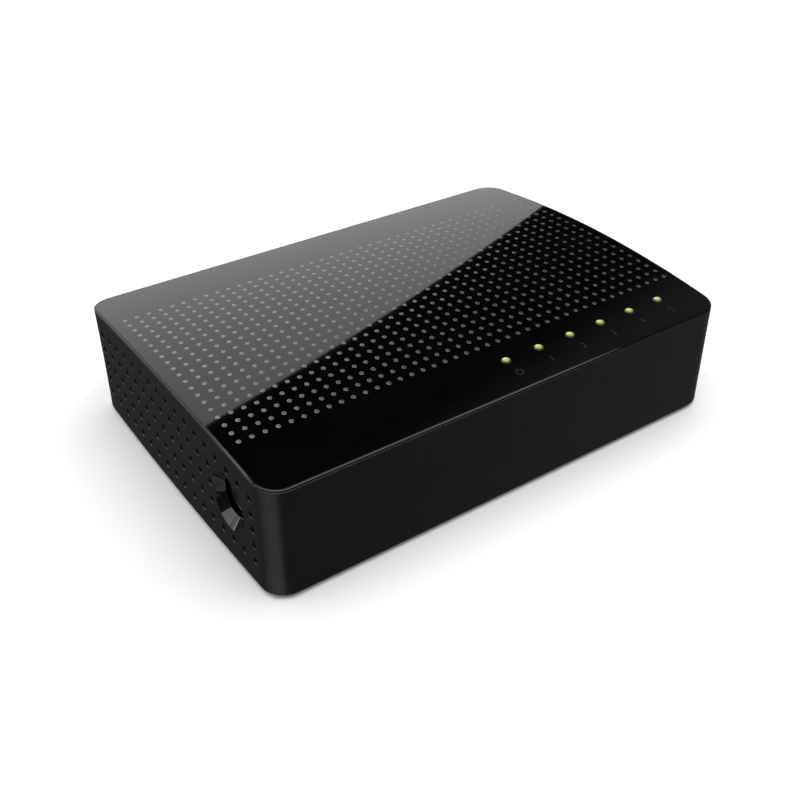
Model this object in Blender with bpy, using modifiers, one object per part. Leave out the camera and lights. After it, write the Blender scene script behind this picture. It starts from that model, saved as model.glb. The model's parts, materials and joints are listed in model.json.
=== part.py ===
"""Desktop network switch with five ports, modelled as the pieces it comes apart into.

Metres, +Z up. The origin is on the surface that the feet stand on, under the middle of
the case. The lamps are along the front (-Y), the network ports are in the back wall (+Y),
and the power socket is in the left wall (-X), near the front.
"""
import math

import bmesh
import bpy
from mathutils import Matrix, Vector

MM = 0.001

# ---------------------------------------------------------------- driving dimensions
CASE_WIDTH = 100.6 * MM          # at the top corners
CASE_DEPTH = 71.4 * MM           # at the top edge
CASE_BOTTOM = 0.9 * MM           # the case's underside: what the feet lift it by
CROWN_TOP = 25.2 * MM            # highest point of the arched top
CROWN_RADIUS = 288.5 * MM        # the top is part of a wide cylinder along X
CROWN_CENTRE = 2.3 * MM          # the arch's highest line, behind the middle
CROWN_STEPS = 8
WALL_STEPS = 4
WALL_DRAFT = 0.08 * MM           # how far each wall leans out from top to foot
SIDE_BULGE = 0.6 * MM            # how far the side walls bow out along their top and foot
CORNER_RADIUS = 4.3 * MM
CORNER_STEPS = 5
WALL = 1.8 * MM
GAP = 0.3 * MM                   # between pieces that fit together
SOLDER_GAP = 0.2 * MM            # between the board and what is soldered to it

RIM_WIDTH = 0.6 * MM             # lip of the top cover around the panel
RIM_ROUNDING = 0.35 * MM
PANEL_THICKNESS = 0.9 * MM
ROOF_THICKNESS = 1.2 * MM
FLOOR_THICKNESS = 1.8 * MM
FLOOR_TOP = CASE_BOTTOM + FLOOR_THICKNESS

VENT_COLUMNS = 17
VENT_ROWS = 5
VENT_PITCH_Y = 3.739 * MM
VENT_PITCH_Z = 4.0 * MM
VENT_RADIUS = 0.68 * MM
VENT_MIDDLE_Z = 12.4 * MM
VENT_PINCH = 199.0               # rows draw together towards the corners, per square metre

BOARD_BOTTOM = 4.6 * MM
BOARD_THICKNESS = 1.6 * MM
BOARD_TOP = BOARD_BOTTOM + BOARD_THICKNESS
BOARD_HALF_WIDTH = 46.7 * MM
BOARD_FRONT = -31.5 * MM
BOARD_BACK = 32.9 * MM
PARTS_Z = BOARD_TOP + SOLDER_GAP

LAMP_COUNT = 6
LAMP_LAST_X = 40.85 * MM
LAMP_PITCH = 7.64 * MM
LAMP_Y = -27.85 * MM
GUIDE_RADIUS = 0.95 * MM
GUIDE_HOLE_RADIUS = 1.1 * MM
GUIDE_HOLE_BOTTOM = 18.0 * MM

POWER_Y = -21.5 * MM
POWER_Z = 12.55 * MM
POWER_RECESS_RADIUS = 5.5 * MM   # at the wall's outside; the recess narrows inwards
POWER_WAY_RADIUS = 3.65 * MM
POWER_RECESS_END = -49.0 * MM
POWER_FACE = -48.0 * MM
POWER_DEPTH = 13.4 * MM
POWER_BORE_RADIUS = 3.2 * MM
POWER_BORE_END = -37.8 * MM
POWER_PIN_RADIUS = 1.0 * MM
LEAF_HINGE_DROP = 4.6 * MM       # the leaf contact's bend below the socket's axis

PORT_COUNT = 5
PORT_PITCH = 13.97 * MM
PORT_FACE = 35.4 * MM
PORT_DEPTH = 15.8 * MM
PORT_BLOCK_WIDTH = 71.4 * MM
PORT_BLOCK_HEIGHT = 13.3 * MM
PORT_WINDOW_FRONT = 30.0 * MM
PORT_FLOOR = 9.9 * MM
PORT_CEILING = 16.8 * MM
PORT_WIDTH = 11.9 * MM
PORT_CAVITY_DEPTH = 12.8 * MM
CONTACT_COUNT = 8
CONTACT_PITCH = 1.02 * MM
CONTACT_TILT = math.radians(22.0)
CONTACT_HINGE_Y = PORT_FACE - 3.2 * MM
CONTACT_HINGE_Z = 17.7 * MM

COVER_BOSSES = ((-44.6 * MM, -30.6 * MM), (44.6 * MM, -30.6 * MM),
                (-43.4 * MM, 29.4 * MM), (43.4 * MM, 29.4 * MM))
BOSS_RADIUS = 2.75 * MM
BOSS_END = 4.2 * MM
BOSS_TOP = 21.9 * MM
PILOT_RADIUS = 1.5 * MM
PILOT_TOP = 13.0 * MM
HEAD_SEAT_DEPTH = 1.3 * MM
BOARD_POSTS = ((-40.0 * MM, 1.0 * MM), (40.0 * MM, 1.0 * MM))
FOOT_PLACES = {"front_left": (-35.5 * MM, -24.5 * MM), "front_right": (35.5 * MM, -24.5 * MM),
               "back_left": (-35.5 * MM, 24.5 * MM), "back_right": (35.5 * MM, 24.5 * MM)}
FOOT_RADIUS = 4.5 * MM
FOOT_THICKNESS = 1.5 * MM
FOOT_SOFTENING = 0.4 * MM
KEYHOLE_X = 30.0 * MM
KEYHOLE_WIDE_RADIUS = 3.7 * MM
KEYHOLE_NARROW_RADIUS = 1.9 * MM
KEYHOLE_LENGTH = 8.5 * MM
FLOOR_SLOTS = 7
FLOOR_SLOT_PITCH = 4.0 * MM
FLOOR_SLOT_HALF_WIDTH = 0.8 * MM
FLOOR_SLOT_FRONT = 8.0 * MM
FLOOR_SLOT_BACK = 22.0 * MM
LABEL_HALF_WIDTH = 22.0 * MM
LABEL_FRONT = -22.0 * MM
LABEL_BACK = 2.0 * MM
LABEL_THICKNESS = 0.15 * MM

SWITCH_CHIP_PLACE = (6.0 * MM, -8.0 * MM)
MEMORY_CHIP_PLACE = (28.0 * MM, -12.0 * MM)
CONVERTER_CHIP_PLACE = (-24.0 * MM, -20.0 * MM)
TRANSFORMER_Y = 12.2 * MM
INPUT_CAPACITOR_PLACE = (-27.0 * MM, -9.0 * MM)
OUTPUT_CAPACITOR_PLACE = (-15.0 * MM, -20.5 * MM)
CRYSTAL_PLACE = (21.5 * MM, 4.1 * MM)
INDUCTOR_PLACE = (-17.0 * MM, -11.0 * MM)
DIODE_PLACE = (-28.2 * MM, -25.0 * MM)
EARTH_CAPACITOR_PLACE = (-40.7 * MM, 17.5 * MM)

ROUND_STEPS = 16
BEYOND = 3.0 * MM                # how far cutters reach past what they cut
Y_AXIS = Vector((0.0, 1.0, 0.0))
Z_AXIS = Vector((0.0, 0.0, 1.0))


# ---------------------------------------------------------------- scene helpers
def clear_scene():
    """Remove every object, so that the script gives the same result each run."""
    for old in list(bpy.data.objects):
        bpy.data.objects.remove(old, do_unlink=True)


def new_collection(name):
    """A collection linked to the scene."""
    collection = bpy.data.collections.new(name)
    bpy.context.scene.collection.children.link(collection)
    return collection


def plastic(name, colour, roughness, metallic=0.0):
    """A Principled material with one colour."""
    material = bpy.data.materials.new(name)
    material.use_nodes = True
    shader = material.node_tree.nodes["Principled BSDF"]
    shader.inputs["Base Color"].default_value = (*colour, 1.0)
    shader.inputs["Roughness"].default_value = roughness
    shader.inputs["Metallic"].default_value = metallic
    material.diffuse_color = (*colour, 1.0)
    return material


def object_from(bm, name, material=None, place=(0.0, 0.0, 0.0)):
    """Turn a bmesh into an object: a part when it has a material, or else a cutter."""
    mesh = bpy.data.meshes.new(name)
    bmesh.ops.recalc_face_normals(bm, faces=bm.faces)
    bm.to_mesh(mesh)
    bm.free()
    return object_with(mesh, name, material, place)


def object_with(mesh, name, material=None, place=(0.0, 0.0, 0.0)):
    """Put a mesh in the scene, in the parts' collection or the cutters'."""
    item = bpy.data.objects.new(name, mesh)
    item.location = place
    if material is None:
        CUTTERS.objects.link(item)
        item.hide_render = True
        item.display_type = 'WIRE'
    else:
        PARTS.objects.link(item)
        mesh.materials.clear()
        mesh.materials.append(material)
    return item


def combine(target, other, operation):
    """Add an exact Boolean modifier."""
    modifier = target.modifiers.new(operation.lower() + "_" + other.name, 'BOOLEAN')
    modifier.operation = operation
    modifier.object = other
    modifier.solver = 'EXACT'


def cut(target, *cutters):
    """Cut shapes out of a part."""
    for cutter in cutters:
        combine(target, cutter, 'DIFFERENCE')


def add(target, *shapes):
    """Join shapes to a part."""
    for shape in shapes:
        combine(target, shape, 'UNION')


def smooth(item, angle=30.0):
    """Shade a round piece smooth, with its real edges sharp."""
    item.data.shade_smooth()
    item.data.set_sharp_from_angle(angle=math.radians(angle))


# ---------------------------------------------------------------- shape helpers
def box_between(bm, low, high):
    """Add a box to a bmesh, between two corners."""
    low = Vector(low)
    high = Vector(high)
    size = Matrix.Diagonal((*(high - low), 1.0))
    bmesh.ops.create_cube(bm, size=1.0, matrix=Matrix.Translation((low + high) / 2) @ size)


def box(name, low, high, material=None, bevel=0.0, steps=1):
    """A box between two corners, with all its edges bevelled if asked."""
    bm = bmesh.new()
    box_between(bm, low, high)
    if bevel:
        bmesh.ops.bevel(bm, geom=bm.edges[:], offset=bevel, segments=steps, profile=0.5,
                        affect='EDGES')
    return object_from(bm, name, material)


def standing_box(name, place, size, material, bevel=0.0, steps=1):
    """A box that stands on the board, with its middle at a place."""
    x, y = place
    wide, deep, high = size
    return box(name, (x - wide / 2, y - deep / 2, PARTS_Z),
               (x + wide / 2, y + deep / 2, PARTS_Z + high), material, bevel, steps)


def rod_between(bm, start, end, radius, end_radius=None, steps=ROUND_STEPS):
    """Add a closed cylinder or cone to a bmesh, from one point to another."""
    start = Vector(start)
    end = Vector(end)
    turn = Z_AXIS.rotation_difference(end - start).to_matrix().to_4x4()
    bmesh.ops.create_cone(bm, cap_ends=True, segments=steps, radius1=radius,
                          radius2=radius if end_radius is None else end_radius,
                          depth=(end - start).length,
                          matrix=Matrix.Translation((start + end) / 2) @ turn)


def rods(name, ends, radius, material=None, steps=ROUND_STEPS):
    """Parallel cylinders that don't touch, as one object."""
    bm = bmesh.new()
    for start, end in ends:
        rod_between(bm, start, end, radius, steps=steps)
    return object_from(bm, name, material)


def power_rod(name, start_x, end_x, radius, end_radius=None, steps=ROUND_STEPS):
    """A cylinder or cone on the power socket's axis, to cut or join with."""
    bm = bmesh.new()
    rod_between(bm, (start_x, POWER_Y, POWER_Z), (end_x, POWER_Y, POWER_Z), radius, end_radius,
                steps)
    return object_from(bm, name)


def upright_rods(name, places, low, high, radius, steps=ROUND_STEPS):
    """Upright cylinders at a list of places, as one object."""
    return rods(name, [((x, y, low), (x, y, high)) for x, y in places], radius, steps=steps)


def turned(name, profile, material, place=(0.0, 0.0, 0.0), steps=12):
    """A turned piece: its profile (radius, height) runs down its outer side."""
    bm = bmesh.new()
    points = [bm.verts.new((radius, 0.0, height)) for radius, height in profile]
    for first, second in zip(points, points[1:]):
        bm.edges.new((first, second))
    mesh = bpy.data.meshes.new(name)
    bm.to_mesh(mesh)
    bm.free()
    item = object_with(mesh, name, material, place)
    screw = item.modifiers.new("turn", 'SCREW')
    screw.steps = steps
    screw.render_steps = steps
    screw.use_merge_vertices = True
    screw.merge_threshold = 0.00001
    smooth(item)
    return item


def plate(name, outline, thickness, matrix, material=None):
    """A flat piece with an outline of (x, y) points, made from a filled curve."""
    curve = bpy.data.curves.new(name, 'CURVE')
    curve.dimensions = '2D'
    curve.fill_mode = 'BOTH'
    curve.extrude = thickness / 2
    spline = curve.splines.new('POLY')
    spline.points.add(len(outline) - 1)
    for point, (x, y) in zip(spline.points, outline):
        point.co = (x, y, 0.0, 1.0)
    spline.use_cyclic_u = True
    outline_object = bpy.data.objects.new(name + "_outline", curve)
    bpy.context.scene.collection.objects.link(outline_object)
    outline_object.matrix_world = matrix
    depsgraph = bpy.context.evaluated_depsgraph_get()
    mesh = bpy.data.meshes.new_from_object(outline_object.evaluated_get(depsgraph))
    bpy.data.objects.remove(outline_object, do_unlink=True)
    bm = bmesh.new()
    bm.from_mesh(mesh)
    bmesh.ops.remove_doubles(bm, verts=bm.verts, dist=0.000001)
    bmesh.ops.recalc_face_normals(bm, faces=bm.faces)
    bm.to_mesh(mesh)
    bm.free()
    item = object_with(mesh, name, material)
    item.matrix_world = matrix
    return item


# ---------------------------------------------------------------- the case's form
def crown_z(y):
    """Height of the arched top at a place along Y."""
    return CROWN_TOP - (y - CROWN_CENTRE) ** 2 / (2 * CROWN_RADIUS)


def draft_at(z):
    """How far a wall has leant out at a height."""
    return WALL_DRAFT * (CROWN_TOP - z) / (CROWN_TOP - CASE_BOTTOM)


def half_width(y, z):
    """Distance from the middle to the outside of a side wall.

    The wall is flat half-way up, and bows out towards its top and its foot.
    """
    bow = SIDE_BULGE * max(1.0 - (2.0 * y / CASE_DEPTH) ** 2, 0.0)
    half_height = (CROWN_TOP - CASE_BOTTOM) / 2
    share = (z - CASE_BOTTOM) / half_height - 1.0
    return CASE_WIDTH / 2 + bow * share * share + draft_at(z)


def level(z):
    """A flat bound for a block of the case's form."""
    return lambda y: z


def crown(drop):
    """An arched bound, this far below the case's top."""
    return lambda y: crown_z(y) - drop


def case_form(inset, bottom_at, top_at, radius, wall_steps):
    """Bmesh block with the case's plan, moved inwards by inset, between two bounds."""
    bm = bmesh.new()
    bmesh.ops.create_cube(bm, size=2.0)
    for step in range(1, CROWN_STEPS):
        bmesh.ops.bisect_plane(bm, geom=bm.verts[:] + bm.edges[:] + bm.faces[:],
                               plane_co=(0.0, 2.0 * step / CROWN_STEPS - 1.0, 0.0),
                               plane_no=Y_AXIS)
    for step in range(1, wall_steps):
        bmesh.ops.bisect_plane(bm, geom=bm.verts[:] + bm.edges[:] + bm.faces[:],
                               plane_co=(0.0, 0.0, 2.0 * step / wall_steps - 1.0),
                               plane_no=Z_AXIS)
    corners = [edge for edge in bm.edges
               if all(abs(vert.co.y) > 0.99 for vert in edge.verts)
               and abs(edge.verts[0].co.z - edge.verts[1].co.z) > 0.1]
    for vert in bm.verts:
        share = vert.co.y
        y = share * (CASE_DEPTH / 2 - inset)
        z = bottom_at(y) + (top_at(y) - bottom_at(y)) * (vert.co.z + 1.0) / 2
        lean = draft_at(z) * math.copysign(1.0, share) if abs(share) > 0.99 else 0.0
        vert.co = (math.copysign(half_width(y, z) - inset, vert.co.x), y + lean, z)
    bmesh.ops.bevel(bm, geom=corners, offset=radius, segments=CORNER_STEPS, profile=0.5,
                    affect='EDGES')
    sides = [face for face in bm.faces if abs(face.normal.x) > 0.9]
    bmesh.ops.triangulate(bm, faces=sides)
    return bm


def edges_round_top(bm):
    """The edges where the top meets the walls."""
    bm.normal_update()
    found = []
    for edge in bm.edges:
        rises = sorted(face.normal.z for face in edge.link_faces)
        if len(rises) == 2 and rises[0] < 0.5 < 0.9 < rises[1]:
            found.append(edge)
    return found


def case_block(name, inset, bottom_at, top_at, material=None, wall_steps=1):
    """A block of the case's form as an object; a tall one needs steps to follow the walls."""
    bm = case_form(inset, bottom_at, top_at, CORNER_RADIUS - inset, wall_steps)
    return object_from(bm, name, material)


def vent_places(side):
    """Centres (y, z) of the vent holes in one side wall, clear of the power recess."""
    places = []
    for column in range(VENT_COLUMNS):
        y = (column - (VENT_COLUMNS - 1) / 2) * VENT_PITCH_Y
        pitch_z = VENT_PITCH_Z * (1.0 - VENT_PINCH * y * y)
        for row in range(VENT_ROWS):
            z = VENT_MIDDLE_Z + (row - (VENT_ROWS - 1) / 2) * pitch_z
            clearance = math.hypot(y - POWER_Y, z - POWER_Z)
            if side > 0 or clearance > POWER_RECESS_RADIUS + VENT_RADIUS:
                places.append((y, z))
    return places


def lamp_places():
    """Places of the lamps along the front, from the power lamp to the last port's."""
    first = LAMP_LAST_X - (LAMP_COUNT - 1) * LAMP_PITCH
    return [(first + index * LAMP_PITCH, LAMP_Y) for index in range(LAMP_COUNT)]


def port_x(index):
    """Middle of a port across the back."""
    return (index - (PORT_COUNT - 1) / 2) * PORT_PITCH


# ---------------------------------------------------------------- casing
def lamp_holes(name):
    """Cutters for the lamps' holes through the roof and the panel."""
    return upright_rods(name, lamp_places(), GUIDE_HOLE_BOTTOM, CROWN_TOP + BEYOND,
                        GUIDE_HOLE_RADIUS, steps=12)


def make_top_cover(material):
    """The shell with the four walls and the roof."""
    bm = case_form(0.0, level(CASE_BOTTOM), crown(0.0), CORNER_RADIUS, WALL_STEPS)
    bmesh.ops.bevel(bm, geom=edges_round_top(bm), offset=RIM_ROUNDING, segments=2, profile=0.5,
                    affect='EDGES')
    cover = object_from(bm, "top_cover", material)
    seat_drop = PANEL_THICKNESS + GAP
    panel_seat = case_block("cut_panel_seat", RIM_WIDTH, crown(seat_drop), crown(-BEYOND))
    hollow = case_block("cut_hollow", WALL, level(CASE_BOTTOM - BEYOND),
                        crown(seat_drop + ROOF_THICKNESS), wall_steps=WALL_STEPS)
    cut(cover, panel_seat, hollow)
    bosses = upright_rods("join_bosses", COVER_BOSSES, BOSS_END, BOSS_TOP, BOSS_RADIUS)
    add(cover, bosses)
    wall_face = -half_width(POWER_Y, POWER_Z)
    slope = (POWER_RECESS_RADIUS - POWER_WAY_RADIUS) / (POWER_RECESS_END - wall_face)
    recess = power_rod("cut_recess", wall_face - BEYOND, POWER_RECESS_END,
                       POWER_RECESS_RADIUS + slope * BEYOND, POWER_WAY_RADIUS, steps=32)
    plug_way = power_rod("cut_plug_way", POWER_RECESS_END - GAP, POWER_RECESS_END + BEYOND,
                         POWER_WAY_RADIUS, steps=32)
    pilots = upright_rods("cut_pilots", COVER_BOSSES, BOSS_END - BEYOND, PILOT_TOP, PILOT_RADIUS,
                          steps=10)
    half_window = PORT_BLOCK_WIDTH / 2 + GAP
    window = box("cut_port_window", (-half_window, PORT_WINDOW_FRONT, CASE_BOTTOM - BEYOND),
                 (half_window, CASE_DEPTH / 2 + BEYOND, PARTS_Z + PORT_BLOCK_HEIGHT + GAP))
    vents = []
    for side in (-1, 1):
        inner, outer = side * (CASE_WIDTH / 2 - BEYOND), side * (CASE_WIDTH / 2 + BEYOND)
        vents += [((inner, y, z), (outer, y, z)) for y, z in vent_places(side)]
    vent_holes = rods("cut_vents", vents, VENT_RADIUS, steps=6)
    cut(cover, recess, plug_way, pilots, lamp_holes("cut_guide_holes"), window, vent_holes)
    smooth(cover, 12.0)
    return cover


def make_top_panel(material):
    """The glossy arched sheet in the cover's rim, with a hole for each lamp."""
    panel = case_block("top_panel", RIM_WIDTH + GAP, crown(PANEL_THICKNESS), crown(0.0),
                       material)
    cut(panel, lamp_holes("cut_panel_holes"))
    smooth(panel, 12.0)
    return panel


def keyhole(x):
    """Outline of a hole to hang the case on a screw head, narrow towards the back."""
    wide = KEYHOLE_WIDE_RADIUS
    narrow = KEYHOLE_NARROW_RADIUS
    start = math.asin(narrow / wide)
    points = []
    for step in range(13):
        angle = math.pi / 2 + start + step * (2 * math.pi - 2 * start) / 12
        points.append((x + wide * math.cos(angle), wide * math.sin(angle)))
    for step in range(7):
        angle = step * math.pi / 6
        points.append((x + narrow * math.cos(angle), KEYHOLE_LENGTH + narrow * math.sin(angle)))
    return points


def make_bottom_cover(material):
    """The floor plate inside the cover's walls, with posts and the back sill under the ports."""
    bottom = case_block("bottom_cover", WALL + GAP, level(CASE_BOTTOM), level(FLOOR_TOP),
                        material)
    sill = box("join_sill", (-PORT_BLOCK_WIDTH / 2, 33.4 * MM, CASE_BOTTOM),
               (PORT_BLOCK_WIDTH / 2, 35.3 * MM, BOARD_TOP - GAP))
    sleeves = upright_rods("join_sleeves", COVER_BOSSES, CASE_BOTTOM + 0.5 * MM,
                           BOSS_END - GAP, BOSS_RADIUS + 0.3 * MM)
    posts = upright_rods("join_posts", BOARD_POSTS, CASE_BOTTOM + 0.5 * MM,
                         BOARD_BOTTOM - GAP, 2.6 * MM)
    add(bottom, sill, sleeves, posts)
    head_seats = upright_rods("cut_head_seats", COVER_BOSSES, -1.0 * MM,
                              CASE_BOTTOM + HEAD_SEAT_DEPTH, 2.5 * MM)
    screw_holes = upright_rods("cut_screw_holes", COVER_BOSSES, -1.0 * MM, 8.0 * MM,
                               1.6 * MM, steps=10)
    post_holes = upright_rods("cut_post_holes", BOARD_POSTS, 2.0 * MM, 8.0 * MM, 1.3 * MM,
                              steps=10)
    foot_seats = upright_rods("cut_foot_seats", FOOT_PLACES.values(), -1.0 * MM,
                              FOOT_THICKNESS + 0.2 * MM,
                              FOOT_RADIUS + GAP, steps=20)
    hangers = [plate("cut_keyhole_" + name, keyhole(x), 6.0 * MM,
                     Matrix.Translation((0.0, 0.0, 2.0 * MM)))
               for name, x in (("left", -KEYHOLE_X), ("right", KEYHOLE_X))]
    slots = bmesh.new()
    for index in range(FLOOR_SLOTS):
        x = (index - (FLOOR_SLOTS - 1) / 2) * FLOOR_SLOT_PITCH
        box_between(slots, (x - FLOOR_SLOT_HALF_WIDTH, FLOOR_SLOT_FRONT, CASE_BOTTOM - BEYOND),
                    (x + FLOOR_SLOT_HALF_WIDTH, FLOOR_SLOT_BACK, FLOOR_TOP + BEYOND))
    slot_cutter = object_from(slots, "cut_floor_slots")
    cut(bottom, head_seats, screw_holes, post_holes, foot_seats, *hangers, slot_cutter)
    return bottom


def make_rating_label(material):
    """A blank label, stuck on the underside."""
    top = CASE_BOTTOM - SOLDER_GAP
    return box("rating_label", (-LABEL_HALF_WIDTH, LABEL_FRONT, top - LABEL_THICKNESS),
               (LABEL_HALF_WIDTH, LABEL_BACK, top), material)


def make_foot(name, place, material):
    """A round rubber foot with a softened lower edge."""
    bm = bmesh.new()
    rod_between(bm, (0.0, 0.0, 0.0), (0.0, 0.0, FOOT_THICKNESS), FOOT_RADIUS, steps=20)
    lower = [edge for edge in bm.edges if all(vert.co.z < 0.1 * MM for vert in edge.verts)]
    bmesh.ops.bevel(bm, geom=lower, offset=FOOT_SOFTENING, segments=2, profile=0.5, affect='EDGES')
    foot = object_from(bm, name, material, (place[0], place[1], 0.0))
    smooth(foot, 40.0)
    return foot


def make_screw(name, head_radius, head_height, shank_radius, length, material):
    """A pan-head screw with a cross recess, pointing down from its head's underside."""
    top = head_height
    profile = ((0.0, top), (head_radius * 0.6, top), (head_radius, top * 0.45),
               (head_radius, 0.0), (shank_radius, 0.0), (shank_radius, -length * 0.85),
               (0.0, -length))
    screw = turned(name, profile, material)
    arms = []
    reach = head_radius * 0.55
    width = 0.25 * MM
    for arm, (half_x, half_y) in enumerate(((reach, width), (width, reach))):
        arms.append(box(f"cut_{name}_{arm}", (-half_x, -half_y, top * 0.35),
                        (half_x, half_y, top + 1.0 * MM)))
        arms[-1].parent = screw
    cut(screw, *arms)
    return screw


def make_case_screws(material):
    """The four screws that hold the bottom cover, up from the underside."""
    for name, (x, y) in zip(("front_left", "front_right", "back_left", "back_right"),
                            COVER_BOSSES):
        screw = make_screw("case_screw_" + name, 2.2 * MM, 1.0 * MM, 1.2 * MM, 9.0 * MM, material)
        screw.location = (x, y, CASE_BOTTOM + HEAD_SEAT_DEPTH - 0.2 * MM)
        screw.rotation_euler = (math.pi, 0.0, 0.0)


# ---------------------------------------------------------------- board and its parts
def make_board(material):
    """The circuit board, with holes for the bosses and its own screws."""
    board = box("circuit_board", (-BOARD_HALF_WIDTH, BOARD_FRONT, BOARD_BOTTOM),
                (BOARD_HALF_WIDTH, BOARD_BACK, BOARD_TOP), material)
    clear_holes = upright_rods("cut_boss_clearance", COVER_BOSSES, 3.0 * MM, 8.0 * MM,
                               BOSS_RADIUS + 0.4 * MM)
    screw_holes = upright_rods("cut_board_holes", BOARD_POSTS, 3.0 * MM, 8.0 * MM, 1.5 * MM,
                               steps=10)
    cut(board, clear_holes, screw_holes)
    return board


def make_board_screws(material):
    """The two screws that hold the board, down into the bottom cover's posts."""
    for name, (x, y) in zip(("left", "right"), BOARD_POSTS):
        screw = make_screw("board_screw_" + name, 2.4 * MM, 1.2 * MM, 1.0 * MM, 4.0 * MM, material)
        screw.location = (x, y, BOARD_TOP + 0.2 * MM)


def make_chip(name, centre, size, leads, material, lead_width=0.45 * MM):
    """A moulded chip on a flat lead frame whose legs stand out of two sides."""
    x, y = centre
    wide, deep, high = size
    body = box(name, (x - wide / 2, y - deep / 2, PARTS_Z + 0.1 * MM),
               (x + wide / 2, y + deep / 2, PARTS_Z + 0.1 * MM + high), material)
    if leads:
        pitch = wide / leads
        reach = deep / 2 + 1.0 * MM
        shoulder = deep / 2 - 0.5 * MM
        outline = []
        for side in (-1, 1):
            for index in range(leads):
                across = side * ((index + 0.5) * pitch - wide / 2) * -1.0
                half = side * lead_width / 2
                outline += [(across + half, side * shoulder), (across + half, side * reach),
                            (across - half, side * reach), (across - half, side * shoulder)]
        frame = plate("join_legs_" + name, outline, 0.25 * MM,
                      Matrix.Translation((x, y, PARTS_Z + 0.35 * MM)))
        add(body, frame)
    return body


def make_transformer(index, material):
    """The isolating transformer in front of a port."""
    make_chip(f"lan_transformer_{index + 1}", (port_x(index), TRANSFORMER_Y),
              (11.6 * MM, 8.4 * MM, 4.2 * MM), 6, material, 0.6 * MM)


def make_lamp(name, place, material):
    """A surface-mounted lamp under a stem of the light guide."""
    return standing_box(name, place, (2.0 * MM, 1.3 * MM, 0.8 * MM), material, 0.15 * MM)


def make_thermal_pad(material):
    """The soft pad between the switch chip and its heat sink."""
    x, y = SWITCH_CHIP_PLACE
    half = 5.6 * MM
    return box("thermal_pad", (x - half, y - half, PARTS_Z + 1.3 * MM),
               (x + half, y + half, PARTS_Z + 1.7 * MM), material)


def make_heat_sink(material):
    """A finned aluminium block on the switch chip, extruded along X."""
    fins = 6
    pitch = 3.4 * MM
    fin = 0.6 * MM
    base = 1.2 * MM
    top = 6.0 * MM
    outline = [((fins - 1) * pitch / 2 + fin, 0.0)]
    for index in reversed(range(fins)):
        middle = (index - (fins - 1) / 2) * pitch
        outline += [(middle + fin, top), (middle - fin, top)]
        if index:
            outline += [(middle - fin, base), (middle - pitch + fin, base)]
    outline.append((-(fins - 1) * pitch / 2 - fin, 0.0))
    stand = Matrix.Translation((*SWITCH_CHIP_PLACE, PARTS_Z + 1.9 * MM))
    turn = Matrix.Rotation(math.radians(90.0), 4, 'Z') @ Matrix.Rotation(math.radians(90.0), 4, 'X')
    return plate("heat_sink", outline, 18.0 * MM, stand @ turn, material)


def make_capacitor(name, place, radius, height, material):
    """A can capacitor with its rolled groove."""
    groove = 0.25 * MM
    profile = ((0.0, height), (radius - 0.5 * MM, height), (radius, height - 0.4 * MM),
               (radius, 2.2 * MM), (radius - groove, 1.8 * MM), (radius, 1.4 * MM),
               (radius, 0.0), (0.0, 0.0))
    return turned(name, profile, material, (*place, PARTS_Z), steps=16)


def make_crystal(material):
    """A long can with round ends."""
    x, y = CRYSTAL_PLACE
    half_length = 5.5 * MM
    half_width_y = 2.3 * MM
    bm = bmesh.new()
    box_between(bm, (x - half_length, y - half_width_y, PARTS_Z),
                (x + half_length, y + half_width_y, PARTS_Z + 3.4 * MM))
    upright = [edge for edge in bm.edges
               if abs(edge.verts[0].co.z - edge.verts[1].co.z) > 1.0 * MM]
    bmesh.ops.bevel(bm, geom=upright, offset=2.2 * MM, segments=4, profile=0.5, affect='EDGES')
    crystal = object_from(bm, "crystal", material)
    smooth(crystal, 40.0)
    return crystal


def make_light_guide(material):
    """One clear moulding: six rods from the lamps up to the panel, joined by a bar."""
    places = lamp_places()
    bar_low = 19.0 * MM
    bar_high = 20.4 * MM
    guide = box("light_guide", (places[0][0] - 1.0 * MM, LAMP_Y - 1.0 * MM, bar_low),
                (places[-1][0] + 1.0 * MM, LAMP_Y + 1.0 * MM, bar_high), material)
    stems = upright_rods("join_guide_stems", places, PARTS_Z + 1.1 * MM, bar_low + 0.5 * MM,
                         0.8 * MM, steps=10)
    heads = bmesh.new()
    dome = 0.25 * MM
    head_top = crown_z(LAMP_Y)
    for x, y in places:
        rod_between(heads, (x, y, bar_high - 0.5 * MM), (x, y, head_top), GUIDE_RADIUS, steps=14)
    caps = [face for face in heads.faces if face.calc_center_median().z > head_top - 0.01 * MM]
    bmesh.ops.inset_region(heads, faces=caps, thickness=0.4 * MM)
    for cap in caps:
        for vert in cap.verts:
            vert.co.z += dome
    head_rods = object_from(heads, "join_guide_heads")
    add(guide, stems, head_rods)
    smooth(guide, 35.0)
    return guide


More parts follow.
